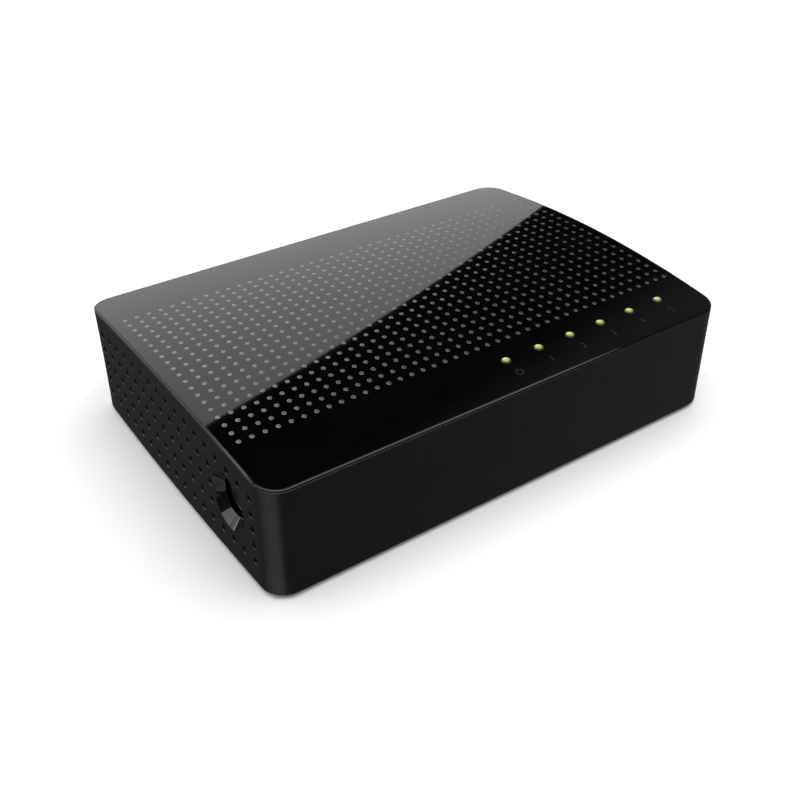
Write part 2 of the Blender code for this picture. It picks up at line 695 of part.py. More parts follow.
# ---------------------------------------------------------------- sockets
def make_port_housing(material):
    """The ganged housing: a cavity, a latch notch and a contact pocket for each port."""
    half = PORT_BLOCK_WIDTH / 2
    housing = box("port_housing", (-half, PORT_FACE - PORT_DEPTH, PARTS_Z),
                  (half, PORT_FACE, PARTS_Z + PORT_BLOCK_HEIGHT), material)
    outside = PORT_FACE + 1.0 * MM
    cavities = bmesh.new()
    notches = bmesh.new()
    keys = bmesh.new()
    pockets = bmesh.new()
    for index in range(PORT_COUNT):
        x = port_x(index)
        box_between(cavities, (x - PORT_WIDTH / 2, PORT_FACE - PORT_CAVITY_DEPTH, PORT_FLOOR),
                    (x + PORT_WIDTH / 2, outside, PORT_CEILING))
        box_between(notches, (x - 3.1 * MM, PORT_FACE - 11.0 * MM, PORT_FLOOR - 1.3 * MM),
                    (x + 3.1 * MM, outside, PORT_FLOOR + 0.5 * MM))
        box_between(keys, (x - 1.7 * MM, PORT_FACE - 8.0 * MM, PORT_FLOOR - 2.4 * MM),
                    (x + 1.7 * MM, outside, PORT_FLOOR - 1.0 * MM))
        box_between(pockets, (x - 4.5 * MM, PORT_FACE - 12.0 * MM, PORT_CEILING - 0.5 * MM),
                    (x + 4.5 * MM, PORT_FACE - 1.6 * MM, PORT_CEILING + 1.8 * MM))
    cut(housing, object_from(cavities, "cut_cavities"), object_from(notches, "cut_notches"),
        object_from(keys, "cut_keys"), object_from(pockets, "cut_pockets"))
    return housing


def make_port_contacts(index, material):
    """A port's eight spring wires, joined by the strip at their fixed end."""
    half_wire = 0.23 * MM
    length = 7.8 * MM
    half_strip = 0.5 * MM
    end = (CONTACT_COUNT - 1) / 2 * CONTACT_PITCH + half_wire
    outline = [(end, half_strip), (-end, half_strip)]
    for wire in range(CONTACT_COUNT):
        middle = (wire - (CONTACT_COUNT - 1) / 2) * CONTACT_PITCH
        left = middle - half_wire
        right = middle + half_wire
        outline += [(left, -half_strip), (left, -length), (right, -length), (right, -half_strip)]
    tilt = Matrix.Rotation(CONTACT_TILT, 4, 'X')
    place = Matrix.Translation((port_x(index), CONTACT_HINGE_Y, CONTACT_HINGE_Z))
    return plate(f"port_{index + 1}_contacts", outline, 0.35 * MM, place @ tilt, material)


def make_power_socket(body_material, pin_material, leaf_material):
    """The power socket's body, its centre pin and its leaf contact."""
    back = POWER_FACE + POWER_DEPTH
    body = box("power_socket_body", (POWER_FACE, POWER_Y - 4.6 * MM, PARTS_Z),
               (back, POWER_Y + 4.6 * MM, POWER_Z + 4.9 * MM), body_material)
    bore = power_rod("cut_power_bore", POWER_FACE - BEYOND, POWER_BORE_END, POWER_BORE_RADIUS,
                     steps=24)
    slot = box("cut_leaf_slot", (POWER_FACE + 1.4 * MM, POWER_Y - 2.2 * MM, POWER_Z - 5.2 * MM),
               (back + 1.0 * MM, POWER_Y + 2.2 * MM, POWER_Z - 2.2 * MM))
    pin_hole = power_rod("cut_pin_hole", POWER_BORE_END - BEYOND, back + BEYOND,
                         POWER_PIN_RADIUS + 0.25 * MM, steps=12)
    cut(body, bore, slot, pin_hole)
    pin_length = POWER_DEPTH
    profile = ((0.0, pin_length), (0.55 * MM, pin_length),
               (POWER_PIN_RADIUS, pin_length - 0.6 * MM), (POWER_PIN_RADIUS, 0.0), (0.0, 0.0))
    pin = turned("power_socket_pin", profile, pin_material,
                 (back + 0.8 * MM, POWER_Y, POWER_Z))
    pin.rotation_euler = (0.0, -math.pi / 2, 0.0)
    hinge = Vector((back - 1.2 * MM, POWER_Y, POWER_Z - LEAF_HINGE_DROP))
    bends = ((0.6 * MM, 0.0), (0.0, 0.0), (-7.6 * MM, 1.75 * MM), (-9.4 * MM, 1.2 * MM))
    half = 0.15 * MM
    outline = [(x, z + half) for x, z in bends] + [(x, z - half) for x, z in reversed(bends)]
    stand = Matrix.Rotation(math.radians(90.0), 4, 'X')
    leaf = plate("power_socket_leaf", outline, 3.4 * MM, Matrix.Translation(hinge) @ stand,
                 leaf_material)
    return body, pin, leaf


# ---------------------------------------------------------------- the whole switch
clear_scene()
PARTS = new_collection("network_switch")
CUTTERS = new_collection("cutters")

SATIN_BLACK = plastic("satin_black", (0.012, 0.012, 0.013), 0.45)
GLOSS_BLACK = plastic("gloss_black", (0.006, 0.006, 0.007), 0.08)
MATTE_BLACK = plastic("matte_black", (0.015, 0.015, 0.016), 0.6)
RUBBER = plastic("rubber", (0.03, 0.03, 0.03), 0.85)
LABEL = plastic("label_paper", (0.75, 0.75, 0.73), 0.6)
STEEL = plastic("screw_steel", (0.35, 0.35, 0.36), 0.35, 1.0)
BOARD_GREEN = plastic("board_green", (0.02, 0.16, 0.06), 0.4)
SOCKET_BLACK = plastic("socket_black", (0.02, 0.02, 0.022), 0.35)
GOLD = plastic("contact_gold", (0.85, 0.6, 0.22), 0.25, 1.0)
NICKEL = plastic("nickel", (0.7, 0.68, 0.64), 0.25, 1.0)
CLEAR = plastic("guide_clear", (0.45, 0.62, 0.12), 0.1)
CHIP = plastic("chip_black", (0.03, 0.03, 0.032), 0.55)
FERRITE = plastic("ferrite", (0.09, 0.09, 0.09), 0.5)
CAN = plastic("capacitor_sleeve", (0.03, 0.03, 0.05), 0.35)
ALUMINIUM = plastic("heat_sink_aluminium", (0.6, 0.6, 0.62), 0.4, 1.0)
PAD = plastic("thermal_pad", (0.45, 0.5, 0.6), 0.8)
LAMP = plastic("lamp_resin", (0.85, 0.85, 0.6), 0.3)
CERAMIC = plastic("ceramic_blue", (0.05, 0.2, 0.5), 0.4)

make_top_cover(SATIN_BLACK)
make_top_panel(GLOSS_BLACK)
make_bottom_cover(MATTE_BLACK)
make_rating_label(LABEL)
for foot_name, foot_place in FOOT_PLACES.items():
    make_foot("foot_" + foot_name, foot_place, RUBBER)
make_case_screws(STEEL)
make_board(BOARD_GREEN)
make_board_screws(STEEL)

make_port_housing(SOCKET_BLACK)
for port in range(PORT_COUNT):
    make_port_contacts(port, GOLD)
    make_transformer(port, CHIP)
make_power_socket(SOCKET_BLACK, NICKEL, NICKEL)
make_light_guide(CLEAR)
for lamp, lamp_place in enumerate(lamp_places()):
    make_lamp(f"lamp_port_{lamp}" if lamp else "lamp_power", lamp_place, LAMP)

make_chip("switch_chip", SWITCH_CHIP_PLACE, (12.0 * MM, 12.0 * MM, 1.0 * MM), 10, CHIP)
make_thermal_pad(PAD)
make_heat_sink(ALUMINIUM)
make_chip("memory_chip", MEMORY_CHIP_PLACE, (5.0 * MM, 4.0 * MM, 1.5 * MM), 4, CHIP)
make_chip("converter_chip", CONVERTER_CHIP_PLACE, (5.0 * MM, 4.0 * MM, 1.5 * MM), 4, CHIP)
make_crystal(NICKEL)
make_capacitor("input_capacitor", INPUT_CAPACITOR_PLACE, 4.0 * MM, 10.0 * MM, CAN)
make_capacitor("output_capacitor", OUTPUT_CAPACITOR_PLACE, 3.15 * MM, 7.5 * MM, CAN)
standing_box("inductor", INDUCTOR_PLACE, (7.0 * MM, 7.0 * MM, 4.0 * MM), FERRITE, 0.9 * MM)
standing_box("diode", DIODE_PLACE, (4.4 * MM, 2.6 * MM, 2.2 * MM), CHIP, 0.3 * MM)
standing_box("earth_capacitor", EARTH_CAPACITOR_PLACE, (3.4 * MM, 5.0 * MM, 2.6 * MM), CERAMIC,
             0.5 * MM, 2)
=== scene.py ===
"""Looks of the desktop network switch: fine shells, finishes, studio and camera.

Metres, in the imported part's frame: +Z up, lamps along the front (-Y), network ports at the
back (+Y), power socket on the left (-X), origin under the middle of the case on the surface
that it stands on. Lengths below are written as millimetres times MM.
"""
import json
import math

import bmesh
import bpy
from mathutils import Matrix, Vector


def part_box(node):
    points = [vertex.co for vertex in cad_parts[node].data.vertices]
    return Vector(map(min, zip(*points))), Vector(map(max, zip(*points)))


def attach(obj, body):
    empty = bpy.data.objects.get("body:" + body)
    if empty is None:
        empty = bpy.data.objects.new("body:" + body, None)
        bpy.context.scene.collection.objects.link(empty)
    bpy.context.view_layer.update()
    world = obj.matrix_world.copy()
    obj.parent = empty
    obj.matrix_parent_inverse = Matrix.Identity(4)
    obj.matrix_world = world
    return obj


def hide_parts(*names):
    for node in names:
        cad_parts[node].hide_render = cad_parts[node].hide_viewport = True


MM = 0.001

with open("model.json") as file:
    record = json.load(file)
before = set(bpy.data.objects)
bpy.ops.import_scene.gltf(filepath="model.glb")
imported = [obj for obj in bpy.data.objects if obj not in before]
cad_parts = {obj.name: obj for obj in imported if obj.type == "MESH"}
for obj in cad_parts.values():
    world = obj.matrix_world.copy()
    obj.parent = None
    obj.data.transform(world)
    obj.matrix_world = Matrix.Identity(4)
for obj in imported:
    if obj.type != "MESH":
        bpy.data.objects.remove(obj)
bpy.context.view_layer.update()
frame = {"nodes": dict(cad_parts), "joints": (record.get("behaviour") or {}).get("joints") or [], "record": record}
CASE_BODY = "case"

# ---------------------------------------------------------------- the case's form
COVER_LOW, COVER_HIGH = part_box("top_cover")
WALL_DRAFT = 0.08 * MM           # how far each wall leans out from top to foot
SIDE_BULGE = 0.6 * MM            # how far the side walls bow out along their top and foot
CASE_WIDTH = 100.6 * MM          # at the top corners
CASE_DEPTH = COVER_HIGH.y - COVER_LOW.y - 2.0 * WALL_DRAFT
CASE_BOTTOM = COVER_LOW.z
CROWN_TOP = 25.2 * MM
CROWN_RADIUS = 288.5 * MM        # the top is part of a wide cylinder along X
CROWN_CENTRE = 2.3 * MM          # the arch's highest line, behind the middle
CORNER_RADIUS = 4.3 * MM
CORNER_STEPS = 12
SIDE_STEPS = 34
WALL_STEPS = 8
WALL = 1.8 * MM
GAP = 0.3 * MM
RIM_WIDTH = 0.3 * MM
RIM_ROUNDING = 0.22 * MM
PANEL_GAP = 0.04 * MM
GROOVE_DEPTH = 0.08 * MM         # the fine joint line under the rim
PANEL_THICKNESS = 0.9 * MM
SEAT_DROP = PANEL_THICKNESS + GAP
ROOF_THICKNESS = 1.2 * MM
FLOOR_TOP = CASE_BOTTOM + 1.8 * MM
BEYOND = 1.0 * MM                # how far a cutter runs past what it cuts
X_AXIS = Vector((1.0, 0.0, 0.0))
Z_AXIS = Vector((0.0, 0.0, 1.0))

# ---------------------------------------------------------------- what is on and in the case
VENT_COLUMNS = 17
VENT_ROWS = 5
VENT_PITCH_Y = 3.739 * MM
VENT_PITCH_Z = 4.0 * MM
VENT_RADIUS = 0.68 * MM
VENT_MIDDLE_Z = 12.4 * MM
VENT_PINCH = 199.0               # rows draw together towards the corners, per square metre

DOT_PITCH = 2.4 * MM
DOT_COLUMNS = 41
DOT_ROWS = 20
DOT_SHIFT = Vector((0.38 * MM, 0.35 * MM))
DOT_RADIUS = 0.44 * MM
DOT_HEIGHT = 0.01 * MM

GUIDE_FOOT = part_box("light_guide")[0].z
LAMP_NODES = ["lamp_power"] + [f"lamp_port_{number}" for number in range(1, 6)]
LAMP_PLACES = [(sum(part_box(node), Vector()) / 2).xy for node in LAMP_NODES]
LAMP_HOLE_RADIUS = 1.0 * MM
LENS_RADIUS = 0.92 * MM
LENS_HEIGHT = 0.42 * MM
MARK_DROP = 3.75 * MM            # from a lamp to the middle of its mark, towards the front
MARK_HEIGHT = 1.45 * MM
PRINT_HEIGHT = 0.012 * MM        # half the thickness of a mark's ink

SOCKET_LOW, SOCKET_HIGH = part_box("power_socket_body")
POWER_Y = -21.5 * MM
POWER_Z = 12.55 * MM
POWER_RECESS_RADIUS = 5.5 * MM   # at the wall's outside; the recess narrows inwards
POWER_WAY_RADIUS = 3.65 * MM
POWER_RECESS_END = -49.0 * MM
POWER_BORE_RADIUS = 3.2 * MM
RECESS_OVERRUN = 2.0 * MM        # how far the recess's cutter runs past both its ends

PORTS_LOW, PORTS_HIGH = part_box("port_housing")
PORT_COUNT = 5
PORT_PITCH = 13.97 * MM
PORT_WIDTH = 11.9 * MM
PORT_FLOOR = 9.9 * MM
PORT_CEILING = 16.8 * MM
PORT_CAVITY_DEPTH = 12.8 * MM
PORT_SEAM = 0.24 * MM            # the joint line between two ports
WIRE_COUNT = 8
WIRE_PITCH = 1.02 * MM
WINDOW_FRONT = 30.0 * MM         # the opening in the top cover that the ports fill
WINDOW_BACK = 40.0 * MM

COVER_BOSSES = ((-44.6 * MM, -30.6 * MM), (44.6 * MM, -30.6 * MM),
                (-43.4 * MM, 29.4 * MM), (43.4 * MM, 29.4 * MM))
SCREW_NAMES = ("front_left", "front_right", "back_left", "back_right")
BOSS_RADIUS = 2.75 * MM
BOSS_END = 4.2 * MM
BOSS_TOP = 21.9 * MM
PILOT_RADIUS = 1.5 * MM
PILOT_TOP = 13.0 * MM
SCREW_SEAT_RADIUS = 2.5 * MM
SCREW_HOLE_RADIUS = 1.6 * MM
BOARD_POSTS = ((-40.0 * MM, 1.0 * MM), (40.0 * MM, 1.0 * MM))
POST_RADIUS = 2.6 * MM
POST_TOP = 4.6 * MM
POST_HOLE_RADIUS = 1.3 * MM
SILL_FRONT = 33.4 * MM
SILL_BACK = 35.3 * MM
SILL_TOP = 5.9 * MM
RIB_PLACES = (-20.0 * MM, 24.5 * MM)
RIB_REACH = 40.0 * MM
RIB_HEIGHT = 0.9 * MM
KEYHOLE_X = 30.0 * MM
FLOOR_SLOTS = 7
FLOOR_SLOT_PITCH = 4.0 * MM
FLOOR_SLOT_FRONT = 8.0 * MM
FLOOR_SLOT_BACK = 22.0 * MM
FLOOR_SLOT_HALF = 0.8 * MM
FLOOR_CUT_TOP = 6.0 * MM         # where the keyholes' and slots' cutters end

# ---------------------------------------------------------------- camera
CAMERA_AIM = Vector((-0.99 * MM, 0.0, 0.83 * MM))
CAMERA_DISTANCE = 212.7 * MM
CAMERA_AZIMUTH = math.radians(-34.76)     # from -Y towards -X
CAMERA_ELEVATION = math.radians(34.64)
CAMERA_ROLL = math.radians(-0.33)
CAMERA_LENS = 46.3


# ---------------------------------------------------------------- node helpers
class Finish:
    """A Principled material, built up from named procedural layers."""

    def __init__(self, name, colour, roughness, metallic=0.0, specular=0.5):
        self.material = bpy.data.materials.new(name)
        self.material.use_nodes = True
        self.material.diffuse_color = (*colour, 1.0)
        self.tree = self.material.node_tree
        self.shader = self.tree.nodes["Principled BSDF"]
        self.set("Base Color", (*colour, 1.0))
        self.set("Roughness", roughness)
        self.set("Metallic", metallic)
        self.set("Specular IOR Level", specular)
        self.place = self.tree.nodes.new("ShaderNodeTexCoord").outputs["Object"]

    def set(self, socket, value):
        """Set one of the shader's own sockets."""
        self.shader.inputs[socket].default_value = value

    def link(self, output, socket):
        """Drive one of the shader's sockets."""
        self.tree.links.new(output, self.shader.inputs[socket])

    def node(self, kind, inputs=None, **settings):
        """Add a node; inputs may be values or other nodes' outputs."""
        made = self.tree.nodes.new(kind)
        for key, value in settings.items():
            setattr(made, key, value)
        for key, value in (inputs or {}).items():
            if isinstance(value, bpy.types.NodeSocket):
                self.tree.links.new(value, made.inputs[key])
            else:
                made.inputs[key].default_value = value
        return made

    def stretched(self, scale):
        """Object coordinates, scaled along each axis."""
        return self.node("ShaderNodeMapping", {"Vector": self.place, "Scale": scale}).outputs[0]

    def noise(self, size, detail=3.0, place=None):
        """Noise with features of about this size, from 0 to 1."""
        return self.node("ShaderNodeTexNoise", {"Vector": place or self.place, "Scale": 1.0 / size,
                                                "Detail": detail}).outputs["Fac"]

    def cells(self, size, place=None, feature='F1'):
        """Distance to the nearest of scattered points, about this far apart."""
        return self.node("ShaderNodeTexVoronoi", {"Vector": place or self.place,
                                                  "Scale": 1.0 / size},
                         feature=feature).outputs["Distance"]

    def between(self, source, low, high, start=0.0, end=1.0):
        """Map a value from start..end to low..high."""
        return self.node("ShaderNodeMapRange", {"Value": source, "From Min": start,
                                                "From Max": end, "To Min": low,
                                                "To Max": high}).outputs["Result"]

    def maths(self, operation, *values):
        """A Math node on up to three values."""
        return self.node("ShaderNodeMath", dict(enumerate(values)), operation=operation).outputs[0]

    def mix(self, share, first, second):
        """Blend two colours."""
        made = self.node("ShaderNodeMix", data_type='RGBA')
        sockets = {0: share, 6: first, 7: second}
        for index, value in sockets.items():
            if isinstance(value, bpy.types.NodeSocket):
                self.tree.links.new(value, made.inputs[index])
            else:
                made.inputs[index].default_value = value
        return made.outputs[2]

    def vary_roughness(self, size, low, high):
        """Roughness that drifts over the surface."""
        self.link(self.between(self.noise(size), low, high, 0.3, 0.7), "Roughness")

    def vary_colour(self, size, first, second):
        """Colour that drifts over the surface."""
        share = self.between(self.noise(size), 0.0, 1.0, 0.3, 0.7)
        self.link(self.mix(share, (*first, 1.0), (*second, 1.0)), "Base Color")

    def bump(self, height, depth, strength=1.0):
        """Relief of this depth, in metres, from a 0 to 1 height."""
        made = self.node("ShaderNodeBump", {"Height": height, "Distance": depth,
                                            "Strength": strength})
        self.link(made.outputs["Normal"], "Normal")


def moulded(name, colour, rough, grain, depth, specular=0.5):
    """Moulded plastic or rubber with a fine spark-eroded grain."""
    made = Finish(name, colour, rough, specular=specular)
    lighter = [channel * 1.35 for channel in colour]
    made.vary_colour(9.0 * MM, colour, lighter)
    made.vary_roughness(3.0 * MM, rough - 0.05, rough + 0.06)
    fine = made.noise(grain, 2.0)
    coarse = made.cells(grain * 2.2)
    made.bump(made.maths('ADD', fine, made.maths('MULTIPLY', coarse, 0.6)), depth)
    return made.material


def plated(name, colour, rough, line=None):
    """Plated or drawn metal, with fine lines along one axis if asked."""
    made = Finish(name, colour, rough, metallic=1.0)
    darker = [channel * 0.82 for channel in colour]
    made.vary_colour(1.5 * MM, colour, darker)
    made.vary_roughness(0.8 * MM, rough - 0.06, rough + 0.12)
    place = made.stretched(line) if line else None
    made.bump(made.noise(0.12 * MM, 2.0, place), 0.004 * MM)
    return made.material


def gloss_panel():
    """Near-black gloss sheet: a mirror-like skin with the faintest flow and dust."""
    made = Finish("gloss_black", (0.0008, 0.0008, 0.0009), 0.035)
    made.vary_colour(14.0 * MM, (0.0006, 0.0006, 0.0007), (0.0012, 0.0012, 0.0012))
    made.vary_roughness(6.0 * MM, 0.028, 0.045)
    made.bump(made.noise(11.0 * MM, 1.0), 0.0012 * MM)
    return made.material


def dot_print():
    """Grey metallic ink of the dots, finely uneven."""
    made = Finish("dot_print", (0.185, 0.185, 0.185), 0.25, metallic=0.9)
    made.vary_colour(0.3 * MM, (0.165, 0.165, 0.165), (0.205, 0.205, 0.205))
    made.vary_roughness(0.25 * MM, 0.22, 0.3)
    made.bump(made.noise(0.09 * MM, 2.0), 0.003 * MM)
    return made.material


def mark_print():
    """Faint grey ink of the marks by the lamps."""
    made = Finish("mark_print", (0.005, 0.005, 0.005), 0.45, specular=0.25)
    made.vary_colour(0.4 * MM, (0.003, 0.003, 0.003), (0.007, 0.007, 0.007))
    made.bump(made.noise(0.1 * MM, 2.0), 0.003 * MM)
    return made.material


def lit_lens():
    """Clear moulding glowing yellow-green, with a painted highlight brightest towards the back and painted shade
    dark round each lens's edge.
    """
    made = Finish("guide_clear", (0.32, 0.42, 0.06), 0.16)
    split = made.node("ShaderNodeSeparateXYZ", {"Vector": made.place})
    pitch = LAMP_PLACES[1].x - LAMP_PLACES[0].x
    along = made.maths('PINGPONG', made.maths('SUBTRACT', split.outputs["X"], LAMP_PLACES[0].x),
                       pitch / 2)
    across = made.maths('SUBTRACT', split.outputs["Y"], LAMP_PLACES[0].y)
    away = made.maths('SQRT', made.maths('ADD', made.maths('MULTIPLY', along, along),
                                         made.maths('MULTIPLY', across, across)))
    # painted highlight: the glow is brighter towards the back of each lens, where the overhead light falls on the
    # dome
    painted_highlight_share = made.between(across, 0.0, 1.0, -0.45 * MM, 0.5 * MM)
    # painted shade: the glow and the base colour darken round each lens's edge, where it sits in its hole
    inside = made.between(away, 1.0, 0.0, LENS_RADIUS - 0.48 * MM, LENS_RADIUS - 0.14 * MM)
    glow_with_painted_highlight = made.mix(painted_highlight_share, (0.13, 0.18, 0.02, 1.0), (0.62, 0.74, 0.21, 1.0))
    made.link(made.mix(inside, (0.012, 0.018, 0.004, 1.0), glow_with_painted_highlight), "Emission Color")
    made.link(made.between(made.noise(0.35 * MM), 0.75, 1.0), "Emission Strength")
    made.link(made.mix(inside, (0.03, 0.04, 0.01, 1.0), (0.2, 0.25, 0.06, 1.0)), "Base Color")
    made.bump(made.noise(0.3 * MM, 1.0), 0.004 * MM)
    return made.material


def lamp_resin():
    """Cloudy resin of the small lamps on the board."""
    made = Finish("lamp_resin", (0.8, 0.82, 0.5), 0.3)
    made.vary_colour(0.4 * MM, (0.85, 0.85, 0.55), (0.6, 0.72, 0.25))
    made.set("Emission Color", (0.5, 0.7, 0.12, 1.0))
    made.set("Emission Strength", 0.8)
    made.bump(made.noise(0.2 * MM), 0.004 * MM)
    return made.material


def board_green():
    """Solder mask over glass fibre, with copper tracks under it."""
    made = Finish("board_green", (0.01, 0.1, 0.035), 0.32)
    tracks = made.node("ShaderNodeTexBrick", {
        "Vector": made.stretched((1.0, 1.0, 0.0)), "Color1": (1.0, 1.0, 1.0, 1.0),
        "Color2": (0.7, 0.7, 0.7, 1.0), "Mortar": (0.0, 0.0, 0.0, 1.0),
        "Scale": 1.0 / (1.3 * MM), "Mortar Size": 0.16, "Brick Width": 3.1,
        "Row Height": 0.9}, offset=0.37).outputs["Color"]
    spread = made.between(made.noise(7.0 * MM), 0.0, 1.0, 0.42, 0.5)
    share = made.maths('MULTIPLY', made.node("ShaderNodeRGBToBW", {"Color": tracks}).outputs[0],
                       spread)
    made.link(made.mix(share, (0.006, 0.06, 0.022, 1.0), (0.02, 0.17, 0.06, 1.0)), "Base Color")
    made.vary_roughness(1.0 * MM, 0.26, 0.42)
    made.bump(share, 0.02 * MM)
    return made.material


def label_paper():
    """Blank coated label, ruled into rows of empty boxes."""
    made = Finish("label_paper", (0.7, 0.7, 0.68), 0.55)
    rules = made.node("ShaderNodeTexBrick", {
        "Vector": made.stretched((1.0, 1.0, 0.0)), "Scale": 1.0 / (8.0 * MM),
        "Mortar Size": 0.012, "Brick Width": 1.9, "Row Height": 0.66}, offset=0.0).outputs["Fac"]
    made.link(made.mix(rules, (0.7, 0.7, 0.68, 1.0), (0.12, 0.12, 0.12, 1.0)), "Base Color")
    made.bump(made.noise(0.12 * MM, 3.0), 0.01 * MM)
    return made.material


def shrink_sleeve():
    """Black sleeve of the can capacitors, with one pale stripe on the side."""
    made = Finish("capacitor_sleeve", (0.02, 0.02, 0.035), 0.3)
    made.vary_colour(2.0 * MM, (0.016, 0.016, 0.028), (0.03, 0.03, 0.05))
    made.vary_roughness(1.2 * MM, 0.24, 0.38)
    made.bump(made.noise(0.9 * MM, 2.0, made.stretched((1.0, 1.0, 0.2))), 0.03 * MM)
    return made.material


MATERIALS = {
    "satin_black": moulded("satin_black", (0.0030, 0.0034, 0.0033), 0.34, 0.16 * MM, 0.008 * MM),
    "gloss_black": gloss_panel(),
    "matte_black": moulded("matte_black", (0.010, 0.010, 0.011), 0.55, 0.22 * MM, 0.02 * MM),
    "rubber": moulded("rubber", (0.022, 0.022, 0.022), 0.8, 0.12 * MM, 0.02 * MM, 0.3),
    "label_paper": label_paper(),
    "screw_steel": plated("screw_steel", (0.42, 0.42, 0.43), 0.34),
    "board_green": board_green(),
    "socket_black": moulded("socket_black", (0.012, 0.012, 0.013), 0.3, 0.2 * MM, 0.006 * MM),
    "contact_gold": plated("contact_gold", (0.86, 0.60, 0.24), 0.22, (1.0, 0.1, 1.0)),
    "nickel": plated("nickel", (0.66, 0.64, 0.60), 0.24),
    "guide_clear": lit_lens(),
    "chip_black": moulded("chip_black", (0.022, 0.022, 0.024), 0.5, 0.09 * MM, 0.008 * MM),
    "ferrite": moulded("ferrite", (0.07, 0.07, 0.075), 0.45, 0.3 * MM, 0.03 * MM),
    "capacitor_sleeve": shrink_sleeve(),
    "heat_sink_aluminium": plated("heat_sink_aluminium", (0.62, 0.62, 0.64), 0.36,
                                  (0.05, 1.0, 1.0)),
    "thermal_pad": moulded("thermal_pad", (0.42, 0.48, 0.58), 0.75, 0.3 * MM, 0.03 * MM),
    "lamp_resin": lamp_resin(),
    "ceramic_blue": moulded("ceramic_blue", (0.04, 0.16, 0.42), 0.35, 0.5 * MM, 0.03 * MM),
}
DOT_PRINT = dot_print()
MARK_PRINT = mark_print()


# ---------------------------------------------------------------- piece helpers
def mesh_of(bm, name):
    """The mesh of a bmesh, with its faces turned outwards."""
    mesh = bpy.data.meshes.new(name)
    bmesh.ops.recalc_face_normals(bm, faces=bm.faces)
    bm.to_mesh(mesh)
    bm.free()
    return mesh


def placed(name, data):
    """A new object in the scene."""
    made = bpy.data.objects.new(name, data)
    bpy.context.scene.collection.objects.link(made)
    return made


def finished(bm, name, slot, body=CASE_BODY, replaces=(), material=None, sharp=35.0):
    """Turn a bmesh into a shaded piece that rides on a body."""
    return finished_mesh(mesh_of(bm, name), name, slot, body, replaces, material, sharp)


def finished_mesh(mesh, name, slot, body=CASE_BODY, replaces=(), material=None, sharp=35.0):
    """Turn a mesh into a shaded piece that rides on a body."""
    if not mesh.materials:
        mesh.materials.append(material or MATERIALS[slot])
    mesh.shade_smooth()
    mesh.set_sharp_from_angle(angle=math.radians(sharp))
    piece = placed(name, mesh)
    even = piece.modifiers.new("even_shading", 'WEIGHTED_NORMAL')
    even.keep_sharp = True
    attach(piece, body)
    if replaces:
        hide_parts(*replaces)
    return piece


def solid(bm):
    """A scratch object from a bmesh, to be cut or to cut with."""
    return placed("scratch", mesh_of(bm, "scratch"))


def carved(target, steps):
    """The mesh of a scratch object after exact Booleans: (operation, bmesh) steps in order."""
    tools = []
    for operation, bm in steps:
        tools.append(solid(bm))
        modifier = target.modifiers.new(operation, 'BOOLEAN')
        modifier.operation = operation
        modifier.object = tools[-1]
        modifier.solver = 'EXACT'
    depsgraph = bpy.context.evaluated_depsgraph_get()
    mesh = bpy.data.meshes.new_from_object(target.evaluated_get(depsgraph))
    mesh.materials.clear()
    for scratch in [target, *tools]:
        bpy.data.objects.remove(scratch, do_unlink=True)
    return mesh


def circle(steps):
    """(cosine, sine) of evenly spaced angles, once round."""
    angles = [2.0 * math.pi * step / steps for step in range(steps)]
    return [(math.cos(angle), math.sin(angle)) for angle in angles]


def bridge(bm, loops):
    """Add the faces between each closed loop of vertices and the next; one point is a loop too."""
    count = max(len(loop) for loop in loops)
    for first, second in zip(loops, loops[1:]):
        for index in range(count):
            corners = (first[index % len(first)], first[(index + 1) % len(first)],
                       second[(index + 1) % len(second)], second[index % len(second)])
            bm.faces.new(list(dict.fromkeys(corners)))


def add_box(bm, low, high, bevel=0.0, steps=2):
    """Add a box between two corners, with its edges rounded if asked."""
    low = Vector(low)
    high = Vector(high)
    size = Matrix.Diagonal((*(high - low), 1.0))
    made = bmesh.ops.create_cube(bm, size=1.0, matrix=Matrix.Translation((low + high) / 2) @ size)
    if bevel:
        edges = list({edge for vert in made["verts"] for edge in vert.link_edges})
        bmesh.ops.bevel(bm, geom=edges, offset=bevel, segments=steps, profile=0.5,
                        affect='EDGES')


def boxes(*bounds, bevel=0.0, steps=2):
    """A bmesh of boxes between pairs of corners."""
    bm = bmesh.new()
    for low, high in bounds:
        add_box(bm, low, high, bevel, steps)
    return bm


def add_turned(bm, profile, place, axis=Z_AXIS, steps=48):
    """Add a turned solid: profile (radius, distance along the axis) from one end to the other."""
    turn = Matrix.Translation(place) @ Z_AXIS.rotation_difference(axis).to_matrix().to_4x4()
    loops = []
    for radius, along in profile:
        around = circle(steps) if radius else [(0.0, 0.0)]
        loops.append([bm.verts.new(turn @ Vector((radius * across, radius * up, along)))
                      for across, up in around])
    bridge(bm, loops)
    for end in (loops[0], loops[-1]):
        if len(end) > 1:
            bm.faces.new(end)


def turned(profile, place, axis=Z_AXIS, steps=48):
    """A bmesh of one turned solid."""
    bm = bmesh.new()
    add_turned(bm, profile, place, axis, steps)
    return bm


def uprights(places, low, high, radius, steps=32):
    """A bmesh of upright cylinders."""
    bm = bmesh.new()
    for x, y in places:
        add_turned(bm, ((radius, low), (radius, high)), (x, y, 0.0), steps=steps)
    return bm


def add_tube(bm, points, radius, sides=10):
    """Add a round wire along points, with closed ends."""
    loops = []
    for index, point in enumerate(points):
        ahead = points[min(index + 1, len(points) - 1)]
        behind = points[max(index - 1, 0)]
        turn = Z_AXIS.rotation_difference(ahead - behind).to_matrix()
        loops.append([bm.verts.new(point + turn @ Vector((radius * across, radius * up, 0.0)))
                      for across, up in circle(sides)])
    bridge(bm, loops)
    bm.faces.new(loops[0])
    bm.faces.new(loops[-1])


